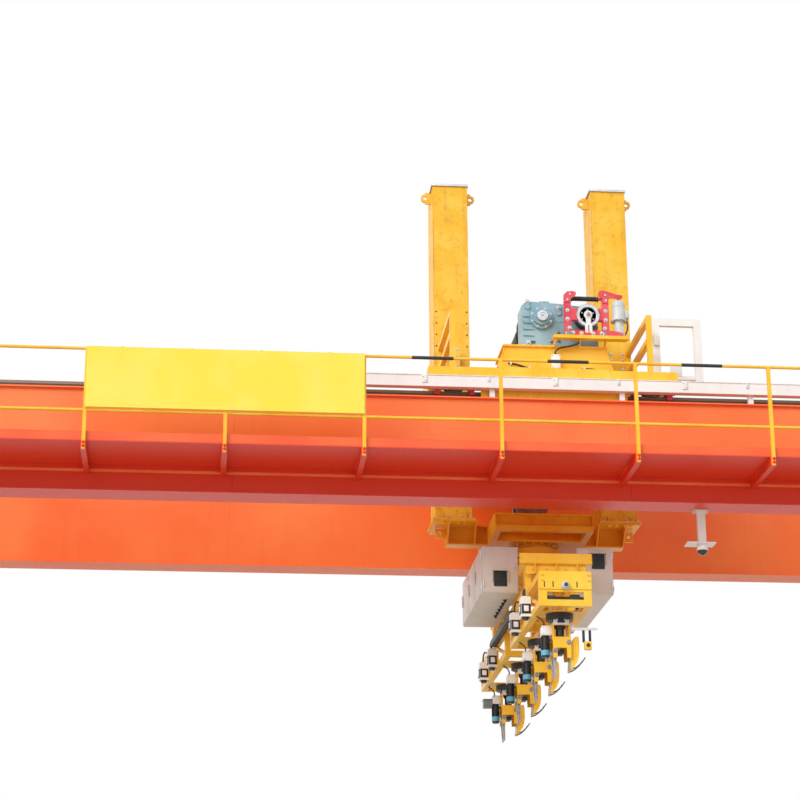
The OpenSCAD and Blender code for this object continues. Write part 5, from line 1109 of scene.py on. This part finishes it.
# The clamp carriers: braced frames of square tube that hang on the guide rails, in yellow enamel. The front one has a
# slotted end plate with a camera ball, its slots drawn as thin black plates in painted shade, and a cross shaft shows
# through its slot.
dress(machine_yellow, "front_carrier", "rear_carrier")
low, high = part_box("front_carrier")
FACE_Y = low.y
bm = bmesh.new()
ball = (8.19, FACE_Y - 0.03, -1.296)
BALL_R = 0.047
turned(bm, ball, (0, -1, 0), [(BALL_R * math.sin(a), -BALL_R * math.cos(a))
                              for a in (0.0, 0.35, 0.7, 1.05, 1.4, 1.75, 2.1, 2.4, 2.65)], 28)
turned(bm, (ball[0], FACE_Y, ball[2]), (0, -1, 0), [(0.03, 0), (0.03, 0.012), (0.02, 0.02)], 20)
make("carrier_camera_ball", bm, light_grey, "spreader")
bm = bmesh.new()
turned(bm, (ball[0], ball[1] - 0.041, ball[2]), (0, -1, 0),
       [(0.022, 0), (0.022, 0.006), (0.017, 0.007), (0, 0.004)], 24)
make("carrier_camera_lens", bm, smoked, "spreader")
bm = bmesh.new()
# Painted shade: three thin black plates on the end plate stand for the dark inside its slots.
for x in (7.966, 8.06, 8.321):
    block(bm, (x - 0.006, FACE_Y - 0.0025, -1.31), (x + 0.006, FACE_Y + 0.002, -1.245), 1)
tube(bm, [(low.x + 0.03, FACE_Y + 0.09, -1.425), (high.x - 0.03, FACE_Y + 0.09, -1.425)], 0.03, 20)
block(bm, (8.25, FACE_Y + 0.05, -1.46), (8.36, FACE_Y + 0.15, -1.375), 6)
block(bm, (8.0, FACE_Y + 0.05, -1.455), (8.09, FACE_Y + 0.13, -1.39), 6)
make("carrier_slot_shade_plates_and_cross_shaft", bm, black_enamel, "spreader")
bolts("carrier_end_plate_bolts", 0.02, (0, -1, 0),
      [(x, FACE_Y, z) for x in (low.x + 0.03, high.x - 0.03) for z in (-1.17, -1.23)], "spreader", machine_yellow)
bm = bmesh.new()
for name in ("front_carrier", "rear_carrier"):
    low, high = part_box(name)
    for x in (low.x, high.x):
        for y in (low.y + 0.12, (low.y + high.y) / 2, high.y - 0.12):
            for z in (low.z + 0.06, high.z - 0.06):
                weld(bm, (x, y - 0.05, z), (x, y + 0.05, z), 0.005)
    for x in (low.x + 0.045, high.x - 0.045):
        for y in (low.y + 0.4, high.y - 0.4):
            turned(bm, (x, y, high.z - 0.002), (0, 0, 1), [(0.03, 0), (0.03, 0.004), (0, 0.004)], 18)
make("carrier_welds_and_pads", bm, machine_yellow, "spreader")

# The carriers' servo drives: white enamelled gearboxes bolted to the left chords, each with a black control panel
# with a white cover, a black motor below it and a plug with a bent hose.
dress(white_enamel, "carrier_drives")
drive_low, drive_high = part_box("carrier_drives")
panels, covers = bmesh.new(), bmesh.new()
SERVO_Y = (-1.762, -0.97, 0.97, 1.762)
CHAIN_LINKS, CHAIN_START, CHAIN_PITCH = 22, -0.78, 0.075
SERVO_ROUTE = ((0, 0, 0), (0, 0, 0.035), (0.004, 0.04, 0.075), (0.008, 0.12, 0.085), (0.012, 0.2, 0.06),
               (0.036, 0.27, 0.045))
for y in SERVO_Y:
    x0, x1 = drive_low.x, drive_high.x
    face = y - 0.06
    block(panels, (x0 + 0.004, face - 0.006, drive_low.z + 0.03), (x1 - 0.004, face, drive_low.z + 0.14), 2)
    block(panels, (x0 - 0.006, y - 0.055, drive_low.z + 0.03), (x0, y + 0.055, drive_low.z + 0.14), 2)
    block(covers, (x0 + 0.03, face - 0.012, drive_low.z + 0.055), (x1 - 0.026, face - 0.004, drive_low.z + 0.118), 3)
    block(covers, (x0 - 0.012, y - 0.03, drive_low.z + 0.055), (x0 - 0.004, y + 0.03, drive_low.z + 0.115), 3)
    turned(panels, ((x0 + x1) / 2, y, drive_low.z), (0, 0, -1),
           [(0.042, 0), (0.042, 0.012), (0.036, 0.02), (0.036, 0.03), (0, 0.03)], 24)
    block(covers, (x0 + 0.02, y - 0.045, drive_high.z - 0.002), (x1 - 0.012, y + 0.045, drive_high.z + 0.012), 4)
    turned(panels, (x0 + 0.05, y - 0.02, drive_high.z + 0.012), (0, 0, 1),
           [(0.016, 0), (0.016, 0.01), (0.011, 0.013), (0.011, 0.02)], 12)
make("servo_panels", panels, black_enamel, "spreader")
make("servo_covers", covers, white_enamel, "spreader")
for k, y in enumerate(SERVO_Y):
    start = Vector((drive_low.x + 0.05, y - 0.02, drive_high.z + 0.026))
    toward = 1 if k % 2 == 0 else -1
    route = [start + Vector((x, toward * along, z)) for x, along, z in SERVO_ROUTE]
    lead("servo_lead_%d" % (k + 1), route, 0.01, "spreader")
bm = bmesh.new()
for k in range(CHAIN_LINKS):
    y = CHAIN_START + CHAIN_PITCH * k
    block(bm, (7.822, y, -1.262), (7.9, y + 0.066, -1.19), 4)
    block(bm, (7.83, y + 0.06, -1.252), (7.892, y + 0.08, -1.2), 2)
make("carrier_cable_chain", bm, black_enamel, "spreader")

# The motor clamps: each hangs on a black slewing ring and a yellow portal with a white cover plate. A yellow yoke
# carries the jaw pins, and beside it sit a black finned gearmotor, a white terminal box and a blue coupling.
CLAMP_Y = [1.325 * (k - 1.5) for k in range(4)]
CLAMP_X = 8.195
dress(black_enamel, "clamp_rotators", "clamp_motors")
dress(machine_yellow, "clamp_yokes")
dress(white_enamel, "terminal_boxes")
yoke_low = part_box("clamp_yokes")[0]
yoke_half = CLAMP_Y[0] - yoke_low.y
yoke_top = yoke_low.z + 0.23
motor_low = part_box("clamp_motors")[0]
motor_x = motor_low.x + 0.04
box_low, box_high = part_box("terminal_boxes")

# Blue nylon: moulded, evenly coloured, with a waxy sheen and scuffs.
blue_nylon = clouded("moulded_blue_nylon", "#3f9fc4", "#79c3dc", cloud_mm=30, detail=5, gloss=(0.35, 0.6),
                     bump=0.1, IOR=1.53)

whites, blacks, blues, steels = bmesh.new(), bmesh.new(), bmesh.new(), bmesh.new()
lid_screws, ring_heads = [], []
PORTAL_HALF_D, PORTAL_HALF_W = 0.09, 0.088
PORTAL_COVER_Z = (-1.644, -1.585)
RING_UNDER_Z = -1.582
HUB_Z = -1.775
ROD_FOOT_Z, ROD_R = -1.94, 0.012
CROSSBAR_Z = (-1.96, -1.915)
CLAMP_ROUTE = ((0, 0, 0), (-0.004, 0, 0.03), (-0.022, 0.012, 0.062), (-0.045, 0.035, 0.088), (-0.056, 0.075, 0.104),
               (-0.05, 0.12, 0.118))
TINE_PIN, HOOK_PIN = (8.12, -1.932), (8.27, -1.842)
for y in CLAMP_Y:
    front = y - PORTAL_HALF_D
    block(whites, (CLAMP_X - PORTAL_HALF_W, front - 0.006, PORTAL_COVER_Z[0]),
          (CLAMP_X + PORTAL_HALF_W, front, PORTAL_COVER_Z[1]), 2)
    block(whites, (box_low.x - 0.003, y - 0.067, box_low.z - 0.003), (box_high.x, y - 0.06, box_high.z + 0.003), 3)
    block(whites, (box_low.x - 0.006, y - 0.05, box_low.z + 0.01), (box_low.x, y + 0.05, box_high.z - 0.01), 2)
    lid_screws += [(x, y - 0.067, z) for x in (box_low.x + 0.012, box_high.x - 0.014)
                   for z in (box_low.z + 0.012, box_high.z - 0.012)]
    fins(blacks, (motor_x, y, motor_low.z + 0.085), (0, 0, 1), radius=0.04, rise=0.009, length=0.145, count=16)
    turned(blacks, (motor_x, y, motor_low.z), (0, 0, 1),
           [(0.03, 0.001), (0.045, 0.008), (0.045, 0.022), (0.04, 0.024)], 24)
    turned(blues, (motor_x, y, motor_low.z + 0.022), (0, 0, 1),
           [(0.041, 0), (0.049, 0.004), (0.049, 0.026), (0.046, 0.03), (0.049, 0.034), (0.049, 0.056),
            (0.041, 0.06)], 24)
    turned(blacks, (box_low.x + 0.03, y, box_high.z), (0, 0, 1),
           [(0.014, 0), (0.014, 0.012), (0.01, 0.016), (0.01, 0.028)], 12)
    for dy in (-0.045, 0.045):
        tube(steels, [(CLAMP_X, y + dy, z) for z in (yoke_top - 0.01, ROD_FOOT_Z)], ROD_R, 14)
    block(blacks, (CLAMP_X - 0.026, y - 0.07, CROSSBAR_Z[0]), (CLAMP_X + 0.026, y + 0.07, CROSSBAR_Z[1]), 5)
    block(blacks, (CLAMP_X - 0.03, y - 0.05, yoke_top - 0.055), (CLAMP_X + 0.03, y + 0.05, yoke_top - 0.02), 4)
    turned(blacks, (CLAMP_X, y, HUB_Z), (0, 0, 1), [(0.045, 0), (0.045, 0.1), (0.06, 0.104), (0.06, 0.13)], 28)
    for x, z in (TINE_PIN, HOOK_PIN):
        for side in (-1, 1):
            turned(steels, (x, y + side * yoke_half, z), (0, side, 0),
                   [(0.027, 0), (0.027, 0.006), (0.02, 0.008), (0.018, 0.014), (0, 0.014)], 20)
    ring_heads += [(CLAMP_X + dx, y + dy, RING_UNDER_Z) for dx, dy in circle(0.1, 8, 22.5)]
make("clamp_covers_and_lids", whites, white_enamel, "spreader")
make("clamp_motor_fins_and_blocks", blacks, black_enamel, "spreader")
make("clamp_blue_couplings", blues, blue_nylon, "spreader")
make("clamp_rods_and_pin_ends", steels, wheel_steel, "spreader")
bolts("terminal_box_screws", 0.009, (0, -1, 0), lid_screws, "spreader")
bolts("clamp_ring_bolts", 0.016, (0, 0, -1), ring_heads, "spreader")
for k, y in enumerate(CLAMP_Y):
    start = Vector((box_low.x + 0.03, y, box_high.z + 0.024))
    lead("clamp_lead_%d" % (k + 1), [start + Vector(step) for step in CLAMP_ROUTE], 0.008, "spreader")

# The clamps' jaws: forged steel tines, ground bright where they grip, and claws of thick yellow plate with a hard
# steel liner along the gripping edge. Jaw and claw swing apart on their pins.
CLAW_W, CLAW_LEN = 0.118, 0.3
LINER = ((0.12, -0.97), (0.17, -0.8), (0.23, -0.53), (0.17, -0.3), (0.03, -0.14))
LINER_T = 0.006
LINER_INSET = 0.008
PRONG_OUT, TEETH, TOOTH_PITCH, TOOTH_HALF_W = 0.06, 5, 0.022, 0.011

# Ground tool steel: bright, with long scratches down the blade and brown heat tint.
tine_steel = bpy.data.materials.new("ground_tool_steel")
tree = new_tree(tine_steel)
place = add(tree, "ShaderNodeTexCoord").outputs["Object"]
lines = add(tree, "ShaderNodeMapping", {"Vector": place, "Scale": (1000 / 8, 1000 / 8, 1000 / 160)})
ground = add(tree, "ShaderNodeTexNoise", {"Vector": lines.outputs[0], "Scale": 1.0, "Detail": 5.0})
tint = add(tree, "ShaderNodeTexNoise", {"Vector": place, "Scale": 1000 / 70, "Detail": 3.0})
colour = add(tree, "ShaderNodeMix", {0: tint.outputs["Fac"], 6: linear("#5d534c"), 7: linear("#cbc6bf")},
             data_type="RGBA")
gloss = add(tree, "ShaderNodeMapRange", {0: ground.outputs["Fac"], 3: 0.22, 4: 0.5})
marks = add(tree, "ShaderNodeBump", {"Height": ground.outputs["Fac"], "Strength": 0.15, "Distance": 0.001})
blade = add(tree, "ShaderNodeBsdfPrincipled", {"Base Color": colour.outputs[2], "Metallic": 0.9,
                                               "Roughness": gloss.outputs[0], "Normal": marks.outputs[0]})
add(tree, "ShaderNodeOutputMaterial", {"Surface": blade.outputs[0]})

# The claws' coat: yellow enamel on the plate, and blackened spring steel on the thin guide hooks below this line.
GUIDE_SLOPE, GUIDE_START = 0.94, (0.055, -0.265)
claw_enamel = painted_steel("yellow_enamel_and_blackened_steel", "#fdbe17", "#ffd044", "#9a560c", patch_mm=120,
                            stains=0.4)
tree = claw_enamel.node_tree
enamel = next(n for n in tree.nodes if n.type == "BSDF_PRINCIPLED")
coat = enamel.inputs["Base Color"].links[0].from_socket
place = add(tree, "ShaderNodeTexCoord").outputs["Object"]
line_z = HOOK_PIN[1] + GUIDE_START[1] - GUIDE_SLOPE * (HOOK_PIN[0] + GUIDE_START[0])
above = add(tree, "ShaderNodeVectorMath", {0: place, 1: (-GUIDE_SLOPE, 0, 1)}, operation="DOT_PRODUCT")
painted = add(tree, "ShaderNodeMapRange", {0: above.outputs["Value"], 1: line_z - 0.002, 2: line_z + 0.002})
parted = add(tree, "ShaderNodeMix", {0: painted.outputs[0], 6: linear("#5b4a38"), 7: coat}, data_type="RGBA")
tree.links.new(parted.outputs[2], enamel.inputs["Base Color"])
for k, y in enumerate(CLAMP_Y):
    tines, claw = "tines_%d" % (k + 1), "hook_jaw_%d" % (k + 1)
    dress(tine_steel, tines)
    dress(claw_enamel, claw)
    claw_low, claw_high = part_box(claw)
    bm = bmesh.new()
    edge = [Vector((HOOK_PIN[0] + u * CLAW_W, claw_low.y + LINER_INSET, HOOK_PIN[1] + v * CLAW_LEN)) for u, v in LINER]
    for lower, upper in zip(edge, edge[1:]):
        along = (upper - lower).normalized()
        out = Vector((-abs(along.z), 0, along.x if along.z > 0 else -along.x)) * LINER_T
        plate(bm, [lower, upper, upper + out, lower + out], (0, claw_high.y - claw_low.y - 2 * LINER_INSET, 0))
    make("claw_liner_%d" % (k + 1), bm, tine_steel, claw)
    bm = bmesh.new()
    tine_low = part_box(tines)[0]
    for prong_y in (y - PRONG_OUT, y + PRONG_OUT):
        for tooth in range(TEETH):
            z = tine_low.z + 0.02 + TOOTH_PITCH * tooth
            root, tip = TINE_PIN[0] + 0.0125 + tooth * 0.0006, TINE_PIN[0] + 0.022
            plate(bm, [(x, prong_y - TOOTH_HALF_W, z + dz) for x, dz in ((root, 0), (tip, 0.006), (root, 0.016))],
                  (0, 2 * TOOTH_HALF_W, 0))
    make("tine_teeth_%d" % (k + 1), bm, tine_steel, tines)

# Fittings of single clamps: a white sensor box and arm with a yellow scanner on the front clamp, and a grey hood
# over the plugs of the rear one. Folded sheet and small castings, screwed to the clamps' portals.
ARM_Z = -1.7
bm = bmesh.new()
arm_y = CLAMP_Y[0] - 0.1
block(bm, (CLAMP_X + 0.1, CLAMP_Y[0] - 0.085, -1.722), (CLAMP_X + 0.146, CLAMP_Y[0] - 0.01, -1.632), 5)
plate(bm, [(CLAMP_X + dx, arm_y + dy, ARM_Z)
           for dx, dy in ((0.1, -0.07), (0.385, -0.07), (0.36, 0.01), (0.1, 0.03))], (0, 0, 0.01))
plate(bm, [(CLAMP_X + dx, arm_y - 0.074, z)
           for dx, z in ((0.1, -1.72), (0.385, -1.715), (0.385, -1.69), (0.1, -1.69))], (0, 0.006, 0))
make("scanner_arm", bm, white_enamel, "spreader")
bm = bmesh.new()
for x in (CLAMP_X + 0.23, CLAMP_X + 0.3):
    block(bm, (x - 0.014, arm_y - 0.065, -1.85), (x + 0.014, arm_y - 0.053, -1.69), 2)
turned(bm, (CLAMP_X + 0.274, arm_y - 0.09, -1.885), (0, -1, 0),
       [(0.022, 0), (0.022, 0.006), (0.017, 0.007), (0, 0.003)], 20)
make("scanner_bracket_and_lens", bm, black_enamel, "spreader")
bm = bmesh.new()
block(bm, (CLAMP_X + 0.235, arm_y - 0.09, -1.932), (CLAMP_X + 0.313, arm_y - 0.028, -1.842), 6)
make("scanner_case", bm, machine_yellow, "spreader")
hood_grey = painted_steel("dark_grey_enamel", "#6d7672", "#828b86", "#3c413f", patch_mm=120, stains=0.2)
bm = bmesh.new()
hood_y = CLAMP_Y[3]
block(bm, (box_low.x - 0.115, hood_y - 0.06, -1.8), (box_low.x - 0.006, hood_y + 0.06, -1.7), 8)
block(bm, (box_low.x - 0.122, hood_y - 0.068, -1.706), (box_low.x - 0.004, hood_y + 0.068, -1.694), 3)
make("plug_hood", bm, hood_grey, "spreader")

low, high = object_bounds()
